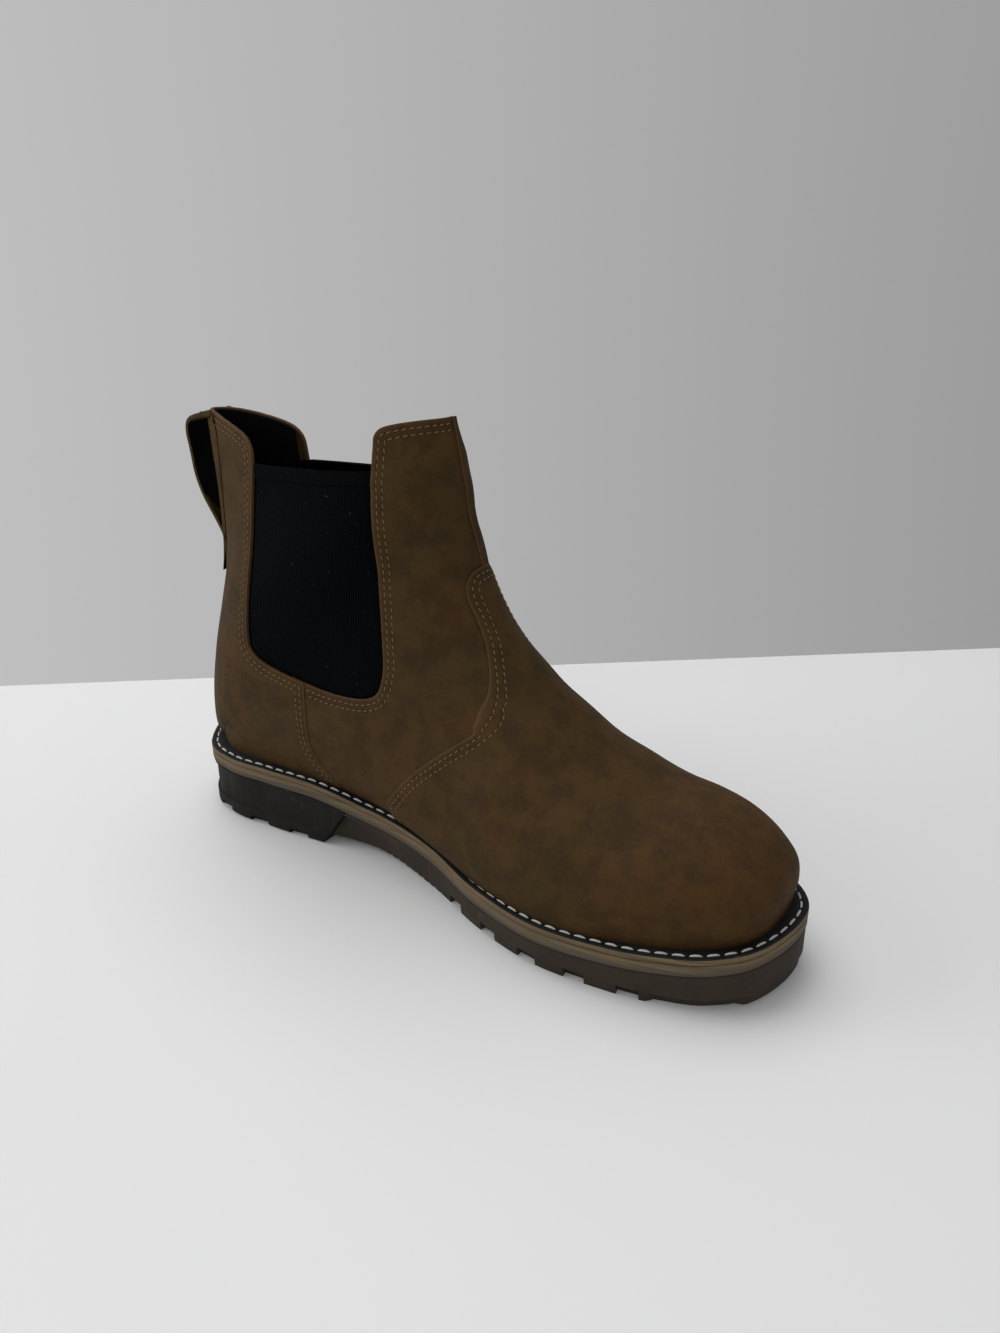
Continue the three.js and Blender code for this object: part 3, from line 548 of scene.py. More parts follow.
# One stitch, a round-ended thread that dives at both ends, copied along rows
def stitchShape(size):
    deselect()
    bpy.ops.mesh.primitive_uv_sphere_add(
        segments=8, ring_count=size.get("rings", 7), radius=0.5, location=(0, 0, 0))
    model = bpy.context.object
    bpy.ops.object.mode_set(mode="EDIT")
    bpy.ops.transform.rotate(value=math.pi / 2, orient_axis="Y", center_override=(0, 0, 0))
    bpy.ops.object.mode_set(mode="OBJECT")
    points = np.array([v.co for v in model.data.vertices])
    faces = [list(face.vertices) for face in model.data.polygons]
    bpy.data.objects.remove(model)
    stretch = np.sign(points[:, 0]) * np.abs(points[:, 0] * 2) ** 0.6
    points[:, 0] = stretch * size["length"] / 2
    points[:, 1:] *= size["width"]
    points[:, 2] += size["lift"] - size["dive"] * np.abs(stretch) ** 2.5
    return points, faces


def stitchRows(name, rows, size):
    shape, shapeFaces = stitchShape(size)
    points, faces, starts = [], [], 0
    for row in rows:
        run = pathLength(row[:, :3])
        count = int(round(run[-1] / size["pitch"]))
        if count < 1:
            continue
        marks = (np.arange(count) + 0.5) * run[-1] / count
        for mark in marks:
            behind, here, ahead = [np.array([np.interp(mark + step, run, row[:, k]) for k in range(6)])
                                   for step in (-size["length"] / 2, 0, size["length"] / 2)]
            along = ahead[:3] - behind[:3]
            along /= np.linalg.norm(along)
            up = here[3:] - along * (here[3:] @ along)
            up /= np.linalg.norm(up)
            slant = size.get("slant", 0)
            side = np.cross(up, along)
            along, side = along + side * slant, side - along * slant
            points.append(here[:3] + shape @ np.array([along, side, up]))
            faces += [[starts + corner for corner in face] for face in shapeFaces]
            starts += len(shape)
    piece = meshPiece(name, np.concatenate(points), faces)
    activate(piece)
    bpy.ops.object.shade_smooth()
    print(name, len(points), "stitches")
    return piece


# Upper leather
leather = {
    "thickness": 1.5,
    "vampOffset": 1.2,
    "vampThickness": 1.4,
    "counterOffset": 0.6,
    "lapOffset": 0.9,
    "lapWidth": 7,
    "lapFoot": 0.6,
    "underlap": 10,
    "edgeFall": 0.35,
    "edgeFallWidth": 1.3,
}


def roundedEdge(depth):
    return -leather["edgeFall"] * (1 - ease(depth, 0, leather["edgeFallWidth"]))


quarterRim = np.minimum(windowDepth, collarDepth)
quarterDepth = np.minimum.reduce([
    footDepth, windowDepth, collarDepth, leather["underlap"] - vampDepth, leather["underlap"] - counterDepth,
])
quarterOffset = roundedEdge(quarterRim)
quarter = panel("quarter", quarterOffset, quarterDepth, leather["thickness"], rim=quarterRim)

counterRim = np.minimum.reduce([windowDepth, collarDepth, counterDepth])
counterOffset = leather["counterOffset"] + roundedEdge(counterRim)
counterPanel = panel("back_quarter", counterOffset, np.minimum(footDepth, counterRim), leather["thickness"],
                     rim=counterRim)

vampOffset = leather["vampOffset"] + roundedEdge(vampDepth)
vamp = panel("vamp", vampOffset, np.minimum(footDepth, vampDepth), leather["vampThickness"], rim=vampDepth)

lapFootZ = lastFoot(tabX) + leather["lapFoot"] * boot["upperRise"]
lapSides = np.minimum(lastY - ridgeY, ridgeY + leather["lapWidth"] - lastY)
lapDepth = np.minimum.reduce([
    lapSides, lastZ - lapFootZ, collarDepth, lastX - frontCollarLine[0, 0],
])
lapOffset = leather["lapOffset"] + roundedEdge(lapSides)
frontLap = panel("front_lap", lapOffset, lapDepth, leather["thickness"], rim=lapSides)

liningSizes = {"offset": -1.5, "thickness": 1.0, "windowGap": 4.2, "collarGap": 0.9, "footGap": 1.2}
liningDepth = np.minimum.reduce([
    footDepth - liningSizes["footGap"], windowDepth - liningSizes["windowGap"],
    collarDepth - liningSizes["collarGap"],
])
lining = panel("lining", np.full(lastX.shape, liningSizes["offset"]), liningDepth, liningSizes["thickness"],
               rim=liningDepth)
print("leather cut")

# Elastic gores, sunk in their windows and sewn under the leather, with a folded hem on top
goreSizes = {
    "recess": 0.8,
    "tuck": 1.55,
    "reach": 4,
    "thickness": 1.0,
    "core": 8,
    "hem": 5.5,
    "hemRise": 0.5,
    "ribPitch": 0.0011,  # metres, as the shader counts
    "weftPitch": 0.0009,
}


def goreFields(side):
    topX, topRise = goreTop[:, 0] * boot["length"], goreTop[:, 1 + side]
    topZ = lastFoot(topX) + topRise * boot["upperRise"]
    topDepth = np.interp(lastX, topX, topZ) - lastZ
    sideDepth = sideSign[side] * lastY - goreSizes["core"]
    settled = ease(-windowDepth, -0.4, 2.6)
    offset = -goreSizes["tuck"] + (goreSizes["tuck"] - goreSizes["recess"]) * settled
    depth = np.minimum.reduce([goreSizes["reach"] - windowDepth, topDepth, sideDepth])
    return offset, depth, topDepth


goreSheets = []
for side, label in ((inner, "inner"), (outer, "outer")):
    goreOffset, goreDepth, topDepth = goreFields(side)
    gore = panel(f"gore_{label}_elastic", goreOffset, goreDepth, goreSizes["thickness"],
                 rim=-windowDepth, top=topDepth)
    hemDepth = np.minimum.reduce([goreDepth, goreSizes["hem"] - topDepth, 0.5 - windowDepth])
    hem = panel(f"gore_{label}_hem", goreOffset + goreSizes["hemRise"], hemDepth,
                goreSizes["thickness"] + goreSizes["hemRise"], rim=-windowDepth, top=topDepth)
    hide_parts(f"gore_{label}")
    goreSheets += [gore, hem]
    for piece in (gore, hem):
        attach(piece, "root")

for piece in (quarter, counterPanel, vamp, frontLap, lining):
    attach(piece, "root")
    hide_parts("upper")

# Seam rows
thread = {
    "length": 2.4,
    "width": 0.62,
    "pitch": 3.1,
    "lift": -0.02,
    "dive": 0.28,
    "slant": 0.12,
    "rows": (2.6, 5.2),
    "footGap": 1.5,
    "panelGap": 0.6,
    "lapGap": 0.4,
}
aboveFoot = footDepth - thread["footGap"]
seamRows = []
for level in thread["rows"]:
    seamRows += levelLines(vampOffset, vampDepth, level, aboveFoot)
    seamRows += levelLines(counterOffset, counterRim, level, aboveFoot)
    quarterShown = np.minimum.reduce([
        aboveFoot, -vampDepth - thread["panelGap"], -counterDepth - thread["panelGap"],
        -lapDepth - thread["lapGap"],
    ])
    seamRows += levelLines(quarterOffset, quarterRim, level, quarterShown)
seamThread = stitchRows("seam_thread", seamRows, thread)
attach(seamThread, "root")
print("seams sewn")

# Sole layers
layers = {
    "weltThickness": 2.6,
    "weltWidth": 16,
    "midsoleThickness": 5,
    "waistLift": 4.4,
    "treadToeLift": 2.6,
    "waistRimDepth": 2.2,
    "waistSpan": (0.36, 0.54),
    "rimSpan": (0.33, 0.54),
    "toeLiftFrom": 0.845,
    "steps": 150,
}


def weltBottom(x):
    return weltTop(x) - layers["weltThickness"]


def midsoleTop(x):
    return weltBottom(x) - boot["footGap"]


def midsoleBottom(x):
    return midsoleTop(x) - layers["midsoleThickness"]


def rubberTop(x):
    return midsoleBottom(x) - boot["footGap"]


def treadBottom(x):
    share = shareAt(x)
    rise = np.maximum(0, (share - layers["toeLiftFrom"]) / (1 - layers["toeLiftFrom"]))
    return layers["waistLift"] * (1 - ease(share, *layers["waistSpan"])) + layers["treadToeLift"] * rise ** 2


def rimBottom(x):
    atWaist = rubberTop(x) - layers["waistRimDepth"]
    share = ease(shareAt(x), *layers["rimSpan"])
    return atWaist + (treadBottom(x) + tread["lugHeight"] - atWaist) * share


def soleRing(inset, height, spread=1, steps=None):
    steps = steps or layers["steps"]
    sides = [soleSide(side, inset, steps) for side in (outer, inner)]
    middle = (sides[0] + sides[1]) / 2
    spreadSides = [middle + (edge - middle) * spread for edge in sides]
    ring = np.concatenate([spreadSides[0], spreadSides[1][-2:0:-1]])
    rise = height(ring[:, 0]) if callable(height) else height
    return np.column_stack([ring, np.broadcast_to(rise, len(ring))])


def soleShell(name, profile, steps=None):
    rings = np.stack([soleRing(*row, steps=steps) for row in profile])
    piece = gridPiece(name, np.concatenate([rings, rings[:, :1]], 1))
    cleanShell(piece)
    return piece


def capped(profile, steps=(0.3, 0.65, 0.9)):
    first, last = profile[0], profile[-1]
    below = [(first[0], first[1], spread) for spread in (0, *steps)]
    above = [(last[0], last[1], spread) for spread in (*steps[::-1], 0)]
    return [*below, *profile, *above]


weltSizes = {"groove": 3.0, "grooveHalf": 0.85, "grooveDepth": 0.35, "sideTop": 0.35}


def weltAt(drop):
    return lambda x: weltTop(x) - drop


groove = weltSizes["groove"]
half = weltSizes["grooveHalf"]
welt = soleShell("welt_rand", [
    (layers["weltWidth"], weltBottom),
    (0.3, weltBottom),
    (0, lambda x: weltBottom(x) + 0.3),
    (0, weltAt(0.75)),
    (0.18, weltAt(0.3)),
    (0.6, weltAt(0.05)),
    (1.1, weltTop),
    (groove - half - 0.3, weltTop),
    (groove - half + 0.1, weltAt(0.12)),
    (groove - 0.4, weltAt(weltSizes["grooveDepth"])),
    (groove + 0.4, weltAt(weltSizes["grooveDepth"])),
    (groove + half - 0.1, weltAt(0.12)),
    (groove + half + 0.3, weltTop),
    (layers["weltWidth"], weltTop),
    (layers["weltWidth"], weltBottom),
])
smoothShade(welt, 50)
midsole = soleShell("midsole_strip", capped([
    (0.5, midsoleBottom),
    (0.12, lambda x: midsoleBottom(x) + 0.25),
    (0, lambda x: midsoleBottom(x) + 0.8),
    (0.05, lambda x: midsoleBottom(x) + 2.4),
    (0, lambda x: midsoleTop(x) - 0.8),
    (0.12, lambda x: midsoleTop(x) - 0.25),
    (0.5, midsoleTop),
]))
smoothShade(midsole, 50)

weltThread = {"length": 5.2, "width": 1.0, "pitch": 6.4, "lift": 0.08, "dive": 0.55, "rings": 9}
ring = soleRing(groove, weltAt(weltSizes["grooveDepth"] - 0.2))
ring = np.concatenate([ring, ring[:1]])
upright = np.tile((0, 0, 1), (len(ring), 1))
weltStitches = stitchRows("welt_stitches", [np.column_stack([ring, upright])], weltThread)

# Rubber outsole
tread = {
    "inset": 0.5,
    "waistInset": 3,
    "toeInset": 2.2,
    "waistSpan": (0.35, 0.5),
    "toeStart": (0.86, 0.87),
    "toeEnd": (0.96, 0.97),
    "draft": 0.8,
    "lugWidth": 13,
    "lugGap": 9,
    "lugHeight": 4.5,
    "lugReach": 4,
    "lugsFrom": 0.554,
    "lugsTo": 0.86,
    "ribPitch": 4.2,
    "ribDepth": 1.4,
    "waistRibDepth": 0.7,
    "ribsTo": 0.53,
    "chevronPitch": 23,
    "chevronWidth": 5,
    "chevronReach": 21,
    "chevronSweep": 13,
    "chevronsFrom": 0.58,
    "chevronsTo": 0.92,
    "edgeRound": 0.35,
}
heelSizes = {
    "length": 89.6,
    "slope": 0.7,
    "edge": 1.2,
    "recess": 1.1,
    "panelBottom": 7.5,
    "panelTop": 1.6,
    "panelFront": 9,
    "notchDepth": 3.2,
    "notchWidth": 11,
    "notchReach": 3.4,
    "notches": (0.085, 0.166, 0.245),
}


def sidePrism(name, outline):
    reach = boot["ballWidth"]
    outline = np.array(outline, float)
    points = np.stack([np.column_stack([outline[:, 0], np.full(len(outline), y), outline[:, 1]])
                       for y in (-reach, reach)])
    return loftSolid(name, points)


def loftSolid(name, rings):
    count = rings.shape[1]
    faces = [[j, (j + 1) % count, count + (j + 1) % count, count + j] for j in range(count)]
    faces += [list(range(count))[::-1], list(range(count, 2 * count))]
    piece = meshPiece(name, rings.reshape(-1, 3), faces)
    cleanShell(piece)
    return piece


def edgeBlock(name, side, share, width, reach, low, high):
    turn = math.acos(1 - 2 * share)
    steps = 2000
    edge = soleSide(side, 0, steps)
    i = int(round(turn / math.pi * steps))
    along = edge[min(i + 20, steps)] - edge[max(i - 20, 0)]
    along /= np.linalg.norm(along)
    outward = np.array([-along[1], along[0]]) * sideSign[side]
    corners = [edge[i] + outward * depth + along * width * across
               for depth, across in ((4, -0.5), (4, 0.5), (-reach, 0.5), (-reach, -0.5))]
    return loftSolid(name, np.stack([[(*corner, z) for corner in corners] for z in (low, high)]))


def carve(piece, cutters, operation="DIFFERENCE"):
    deselect()
    for cutter in cutters:
        cutter.select_set(True)
    bpy.context.view_layer.objects.active = cutters[0]
    if len(cutters) > 1:
        bpy.ops.object.join()
    cutter = cutters[0]
    applyModifier(piece, "BOOLEAN", object=cutter, operation=operation, solver="EXACT",
                  use_self=len(cutters) > 1)
    bpy.data.objects.remove(cutter)


def roundEdges(piece, width):
    activate(piece)
    bpy.ops.object.mode_set(mode="EDIT")
    bpy.ops.mesh.select_all(action="SELECT")
    bpy.ops.mesh.remove_doubles(threshold=2e-5)
    bpy.ops.mesh.dissolve_limited(angle_limit=math.radians(0.4))
    bpy.ops.object.mode_set(mode="OBJECT")
    applyModifier(piece, "BEVEL", width=width * 0.001, segments=2, limit_method="ANGLE",
                  angle_limit=math.radians(40), harden_normals=False)
    smoothShade(piece, 35)


def breast(z, shift=0):
    return heelSizes["length"] + shift + heelSizes["slope"] * z


def behindBreast(name, shift):
    return sidePrism(name, [(breast(-30, shift), -30), (breast(60, shift), 60), (-far, 60), (-far, -30)])


def treadInset(x):
    share = shareAt(x)
    atToe = ease(share, *tread["toeStart"]) * (1 - ease(share, *tread["toeEnd"]))
    change = ease(share, *tread["waistSpan"])
    return tread["waistInset"] + (tread["inset"] - tread["waistInset"]) * change + tread["toeInset"] * atToe


outsole = soleShell("outsole_rubber", capped([
    (0.8, rimBottom),
    (0.24, lambda x: rimBottom(x) + 0.8),
    (0.3, lambda x: rubberTop(x) - 0.5),
    (0.75, rubberTop),
]), 200)


def ribCuts(bottom, depth):
    start, end = heelSizes["length"] + 2 * tread["ribPitch"], tread["ribsTo"] * boot["length"]
    flank, cuts = tread["ribPitch"] * 0.36, []
    for x in np.arange(start, end, tread["ribPitch"]):
        z = float(bottom(x))
        cuts.append(sidePrism("rib_cut", [
            (x - 2 * flank, z - depth), (x - flank, z - depth), (x, z + depth), (x + flank, z - depth),
        ]))
    return cuts


carve(outsole, ribCuts(rimBottom, tread["ribDepth"]))
treadBlock = soleShell("tread_block", capped([
    (lambda x: treadInset(x) + tread["draft"], treadBottom),
    (treadInset, lambda x: rubberTop(x) - 1.5),
]), 200)
carve(treadBlock, ribCuts(treadBottom, tread["waistRibDepth"]))
carve(outsole, [treadBlock], "UNION")
cuts = []
lugPitch = (tread["lugWidth"] + tread["lugGap"]) / boot["length"]
for share in np.arange(tread["lugsFrom"], tread["lugsTo"], lugPitch):
    bottom = float(treadBottom(share * boot["length"]))
    for side in (inner, outer):
        cuts.append(edgeBlock("lug_cut", side, share, tread["lugGap"], tread["lugReach"], bottom - 6,
                              bottom + tread["lugHeight"]))
carve(outsole, cuts)
chevrons = []
sweep, reach, width = tread["chevronSweep"], tread["chevronReach"], tread["chevronWidth"]
chevronStart, chevronEnd = tread["chevronsFrom"] * boot["length"], tread["chevronsTo"] * boot["length"]
for x in np.arange(chevronStart, chevronEnd, tread["chevronPitch"]):
    outline = [(x, 0), (x - sweep, reach), (x - sweep - width, reach), (x - width, 0),
               (x - sweep - width, -reach), (x - sweep, -reach)]
    low, high = float(treadBottom(x)) - 6, float(treadBottom(x)) + tread["lugHeight"]
    levels = np.stack([[(*corner, z) for corner in outline] for z in (low, high)])
    chevrons.append(loftSolid("chevron_cut", levels))
carve(outsole, chevrons + [behindBreast("heel_gap", boot["footGap"])])
roundEdges(outsole, tread["edgeRound"])
print("outsole", len(outsole.data.polygons), "faces")


# Heel, with a sunk panel round its back and sides
def heelInset(sunk, z):
    front = breast(z, -heelSizes["panelFront"])
    return lambda x: 0.4 + sunk * heelSizes["recess"] * (1 - ease(x, front - 0.8, front + 0.8))


panelLow, panelTop = heelSizes["panelBottom"], lambda x: rubberTop(x) - heelSizes["panelTop"]
topZ = float(panelTop(50))
heel = soleShell("heel_block", capped([
    (1.6, 0),
    (1.25, 0.15),
    (0.4, heelSizes["edge"]),
    (heelInset(0, panelLow), panelLow - 0.55),
    (heelInset(0.25, panelLow), panelLow - 0.35),
    (heelInset(1, panelLow), panelLow),
    (heelInset(1, 13), 13),
    (heelInset(1, topZ), panelTop),
    (heelInset(0.25, topZ), lambda x: panelTop(x) + 0.35),
    (heelInset(0, topZ), lambda x: panelTop(x) + 0.55),
    (0.4, lambda x: rubberTop(x) - 0.4),
    (0.75, rubberTop),
]), 420)
notches = []
for share in heelSizes["notches"]:
    for side in (inner, outer):
        notches.append(edgeBlock("notch_cut", side, share, heelSizes["notchWidth"], heelSizes["notchReach"],
                                 -6, heelSizes["notchDepth"]))
carve(heel, notches)
carve(heel, [behindBreast("heel_keep", 0)], "INTERSECT")
roundEdges(heel, 0.3)
print("heel", len(heel.data.polygons), "faces")

# Pull loop
strap = {
    "width": 19,
    "thickness": 2.1,
    "round": 0.6,
    "foldDrop": 1.2,
    "foldPeak": (2.6, -1.3),
    "rings": 110,
    "skivedBy": 0.72,
    "skivedRings": 16,
    "seatGap": 0.6,
    "outerSewn": (34, 8),
    "innerSewn": (50, 62),
}


def shaftBackX(z):
    backLine = lastPoints[stations > 19][:, -1]
    order = np.argsort(backLine[:, 2])
    return np.interp(z, backLine[order, 2], backLine[order, 0])


legLine = evenLine(soften(sideLine(strapLeg)), 50)
foldTop = legLine[-1]
layZ = np.linspace(foldTop[1] - strap["thickness"] / 3, legLine[0, 1], 50)
layLine = np.column_stack([shaftBackX(layZ) - strap["seatGap"] - boot["footGap"], layZ])
tangents = np.gradient(legLine, axis=0)
tangents /= np.linalg.norm(tangents, axis=1)[:, None]
halfThick = strap["thickness"] / 2
outerMiddle = legLine + np.column_stack([tangents[:, 1], -tangents[:, 0]]) * halfThick
innerMiddle = layLine + (-halfThick, 0)
innerMiddle = innerMiddle[innerMiddle[:, 1] < foldTop[1] - 2.2]
foldedLine = np.concatenate([outerMiddle[:-3], [foldTop + strap["foldPeak"]], innerMiddle])
path = evenLine(soften(evenLine(foldedLine, 28), 5), strap["rings"])
path[:, 1] -= strap["foldDrop"] * ease(path[:, 1], foldTop[1] - 12, foldTop[1])
path3 = np.column_stack([path[:, 0], np.zeros(len(path)), path[:, 1]])
direction = np.gradient(path, axis=0)
direction /= np.linalg.norm(direction, axis=1)[:, None]
away = np.column_stack([-direction[:, 1], np.zeros(len(path)), direction[:, 0]])


def strapSection():
    wide, thick, corner = strap["width"] / 2, halfThick, strap["round"]
    turn = np.linspace(0, math.pi / 2, 5)
    quarterTurn = np.column_stack([
        wide - corner + corner * np.sin(turn), thick - corner + corner * np.cos(turn),
    ])
    top = np.column_stack([np.linspace(0, wide - corner, 9)[:-1], np.full(8, thick)])
    right = np.concatenate([top, quarterTurn])
    lower = right[::-1] * (1, -1)
    loop = np.concatenate([right, lower])
    return np.concatenate([loop, loop[-2:0:-1] * (-1, 1)])


section = strapSection()
order, lastRing = np.arange(strap["rings"]), strap["rings"] - 1
nearEnd = ease(order, strap["skivedRings"], 0) + ease(order, lastRing - strap["skivedRings"], lastRing)
skived = 1 - strap["skivedBy"] * np.clip(nearEnd, 0, 1)[:, None, None]
path3 -= away * (halfThick * (1 - skived[:, 0]))
sewn = ease(order, *strap["outerSewn"]) + ease(order, *strap["innerSewn"])
rings = (path3[:, None] + skived * section[None, :, 1, None] * away[:, None]
         + section[None, :, 0, None] * np.array([0, 1, 0]))


def backOfShaft(y, z):
    start = toFrame((-20, y, z))
    hit, place = counterPanel.ray_cast(start, (1, 0, 0))[:2]
    return place.x * 1000 - boot["axisAt"][0] if hit else None


for ring3, share in zip(rings, np.clip(sewn, 0, 1)):
    middleX = backOfShaft(0, ring3[:, 2].mean())
    for point in ring3:
        besideX = backOfShaft(point[1], point[2])
        if share > 0 and middleX and besideX:
            point[0] += share * (besideX - middleX)
closedRings = np.concatenate([rings, rings[:, :1]], 1)
ends = []
for ring3 in (rings[0], rings[-1]):
    ends.append(np.repeat(ring3.mean(0, keepdims=True), closedRings.shape[1], 0)[None])
loop = gridPiece("pull_strap", np.concatenate([ends[0], closedRings, ends[1]]))
cleanShell(loop)
smoothShade(loop, 50)
print("pull loop folded")

for piece, node, slot in (
    (welt, "welt", "welt"),
    (midsole, "midsole", "midsole"),
    (outsole, "outsole", "outsole"),
    (heel, "heel", "outsole"),
    (loop, "pull_loop", "loop_leather"),
):
    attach(piece, "root")
    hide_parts(node)
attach(weltStitches, "root")


# Materials
class Wire:
    def __init__(self, finish, socket):
        self.finish, self.socket = finish, socket

    def maths(self, operation, other, swapped=False):
        pair = (other, self) if swapped else (self, other)
        return self.finish.node("ShaderNodeMath", {"operation": operation}, {0: pair[0], 1: pair[1]})

    def __add__(self, other):
        return self.maths("ADD", other)

    def __radd__(self, other):
        return self.maths("ADD", other, True)

    def __sub__(self, other):
        return self.maths("SUBTRACT", other)

    def __rsub__(self, other):
        return self.maths("SUBTRACT", other, True)

    def __mul__(self, other):
        return self.maths("MULTIPLY", other)

    def __rmul__(self, other):
        return self.maths("MULTIPLY", other, True)

    def apply(self, operation):
        return self.finish.node("ShaderNodeMath", {"operation": operation}, {0: self})

    def part(self, axis):
        split = self.finish.tree.nodes.new("ShaderNodeSeparateXYZ")
        self.finish.tree.links.new(self.socket, split.inputs[0])
        return Wire(self.finish, split.outputs[axis])


class Finish:
    def __init__(self, name):
        self.material = bpy.data.materials.new(name)
        self.material.use_nodes = True
        self.tree = self.material.node_tree
        self.shader = self.tree.nodes["Principled BSDF"]
        self.place = Wire(self, self.tree.nodes.new("ShaderNodeTexCoord").outputs["Object"])

    def feed(self, socket, value):
        if isinstance(value, Wire):
            self.tree.links.new(value.socket, socket)
        elif isinstance(value, tuple) and len(value) == 3 and socket.type == "RGBA":
            socket.default_value = (*value, 1)
        else:
            socket.default_value = value

    def node(self, kind, settings=None, values=None, output=0):
        made = self.tree.nodes.new(kind)
        for name, value in (settings or {}).items():
            setattr(made, name, value)
        for name, value in (values or {}).items():
            self.feed(made.inputs[name], value)
        return Wire(self, made.outputs[output])

    def scaled(self, x, y, z):
        return self.node("ShaderNodeMapping", {}, {"Vector": self.place, "Scale": (x, y, z)})

    def noise(self, scale, detail=3, rough=0.55, place=None, warp=0):
        return self.node("ShaderNodeTexNoise", {}, {
            "Vector": place or self.place, "Scale": scale, "Detail": detail, "Roughness": rough,
            "Distortion": warp})

    def band(self, value, low, high, start=0, end=1):
        return self.node("ShaderNodeMapRange", {"interpolation_type": "SMOOTHSTEP"}, {
            "Value": value, "From Min": low, "From Max": high, "To Min": start, "To Max": end})

    def mix(self, share, one, two):
        made = self.tree.nodes.new("ShaderNodeMix")
        made.data_type = "RGBA"
        self.feed(made.inputs[0], share)
        self.feed(made.inputs[6], one)
        self.feed(made.inputs[7], two)
        return Wire(self, made.outputs[2])

    def read(self, name):
        return self.node("ShaderNodeAttribute", {"attribute_name": name}, output=2)

    def finish(self, colour, roughness, height=None, strength=0.4, depth=0.001, **constants):
        self.feed(self.shader.inputs["Base Color"], colour)
        self.feed(self.shader.inputs["Roughness"], roughness)
        for name, value in constants.items():
            self.feed(self.shader.inputs[name.replace("_", " ")], value)
        if height is not None:
            bump = self.node("ShaderNodeBump", {}, {
                "Height": height, "Strength": strength, "Distance": depth})
            self.feed(self.shader.inputs["Normal"], bump)
        return self.material


def dress(piece, *materials):
    piece.data.materials.clear()
    for material in materials:
        piece.data.materials.append(material)


def nubuck(name, brown, olive, rust, rows=True):
    skin = Finish(name)
    clouds = skin.noise(22, 4, 0.6, warp=0.4)
    mottle = skin.noise(95, 4, 0.62)
    patches = skin.noise(41, 3, 0.5)
    nap = skin.noise(1500, 3, 0.6)
    grain = skin.noise(420, 4, 0.6)
    colour = skin.mix(skin.band(clouds, 0.4, 0.66), brown, olive)
    colour = skin.mix(skin.band(patches, 0.52, 0.72, 0, 0.55), colour, rust)
    toe = skin.band(skin.place.part("X"), 0.06, 0.15, 0, 0.5)
    colour = skin.mix(toe, colour, rust)
    dark = skin.band(mottle, 0.35, 0.62, 0.35, 0) + skin.band(nap, 0.4, 0.62, 0.16, 0)
    colour = skin.mix(dark, colour, (0.012, 0.008, 0.005))
    pale = skin.band(grain, 0.62, 0.8, 0, 0.25)
    colour = skin.mix(pale, colour, (0.13, 0.078, 0.032))
    rim = skin.read("rim")
    height = nap * 0.18 + grain * 0.3 + mottle * 0.35
    if rows:
        # paler band within about a millimetre of the cut edge: partly the raw edge's own paler colour,
        # partly a painted highlight along the edge
        rawEdgeAndPaintedHighlight = skin.band(rim, 0.1, 1.0, 0.5, 0)
        colour = skin.mix(rawEdgeAndPaintedHighlight, colour, (0.12, 0.062, 0.028))
        first, second = [
            skin.band((rim - row).apply("ABSOLUTE"), 0.15, 0.75, 1, 0) for row in thread["rows"]]
        stitchGrooveAndShade = first + second
        # darker colour along the stitch rows is painted shade in the stitch groove; the same mask sinks the
        # groove in the bump
        colour = skin.mix(stitchGrooveAndShade * 0.35, colour, (0.014, 0.008, 0.004))
        height = height - stitchGrooveAndShade * 0.5
    rough = skin.band(grain, 0.3, 0.7, 0.68, 0.84)
    return skin.finish(colour, rough, height, 0.55, 0.0006, Specular_IOR_Level=0.14)


upperSkin = nubuck("brown_nubuck", (0.064, 0.033, 0.0085), (0.050, 0.030, 0.0078),
                   (0.079, 0.033, 0.0082))


def cutEdge():
    edge = Finish("cut_leather_edge")
    fibres = edge.noise(900, 3, 0.6)
    colour = edge.mix(fibres, (0.06, 0.033, 0.016), (0.12, 0.068, 0.036))
    return edge.finish(colour, 0.85, fibres, 0.4, 0.0004)


def blackLining():
    cloth = Finish("black_lining_and_loop_shade")
    weave = cloth.noise(1400, 2, 0.5)
    shade = cloth.noise(30, 3, 0.5)
    colour = cloth.mix(cloth.band(shade, 0.35, 0.7), (0.0015, 0.0015, 0.002), (0.003, 0.003, 0.0038))
    return cloth.finish(colour, 0.9, weave, 0.4, 0.0004, Specular_IOR_Level=0.06)


def ribbedElastic(name):
    cloth = Finish(name)
    ribs = (cloth.place.part("X") * (2 * math.pi / goreSizes["ribPitch"])).apply("SINE")
    weft = (cloth.place.part("Z") * (2 * math.pi / goreSizes["weftPitch"])).apply("SINE")
    lint = cloth.noise(620, 2, 0.5)
    colour = cloth.mix(cloth.band(ribs, -0.6, 0.9), (0.0004, 0.0006, 0.0011), (0.0012, 0.0016, 0.0028))
    colour = cloth.mix(cloth.band(lint, 0.70, 0.78, 0, 0.5), colour, (0.05, 0.05, 0.055))
    height = ribs * 0.5 + weft * 0.2
    return cloth.finish(colour, 0.9, height, 0.6, 0.0004, Specular_IOR_Level=0.05)


def rubber(name, dark, pale, rough=0.75):
    compound = Finish(name)
    clouds = compound.noise(60, 4, 0.6)
    grit = compound.noise(900, 3, 0.6)
    dust = compound.noise(140, 4, 0.7)
    colour = compound.mix(compound.band(clouds, 0.35, 0.7), dark, pale)
    colour = compound.mix(compound.band(dust, 0.58, 0.8, 0, 0.5), colour, (0.10, 0.09, 0.075))
    roughness = compound.band(clouds, 0.3, 0.7, rough - 0.1, rough + 0.08)
    height = grit + clouds * 0.6
    return compound.finish(colour, roughness, height, 0.35, 0.0005, Specular_IOR_Level=0.2)


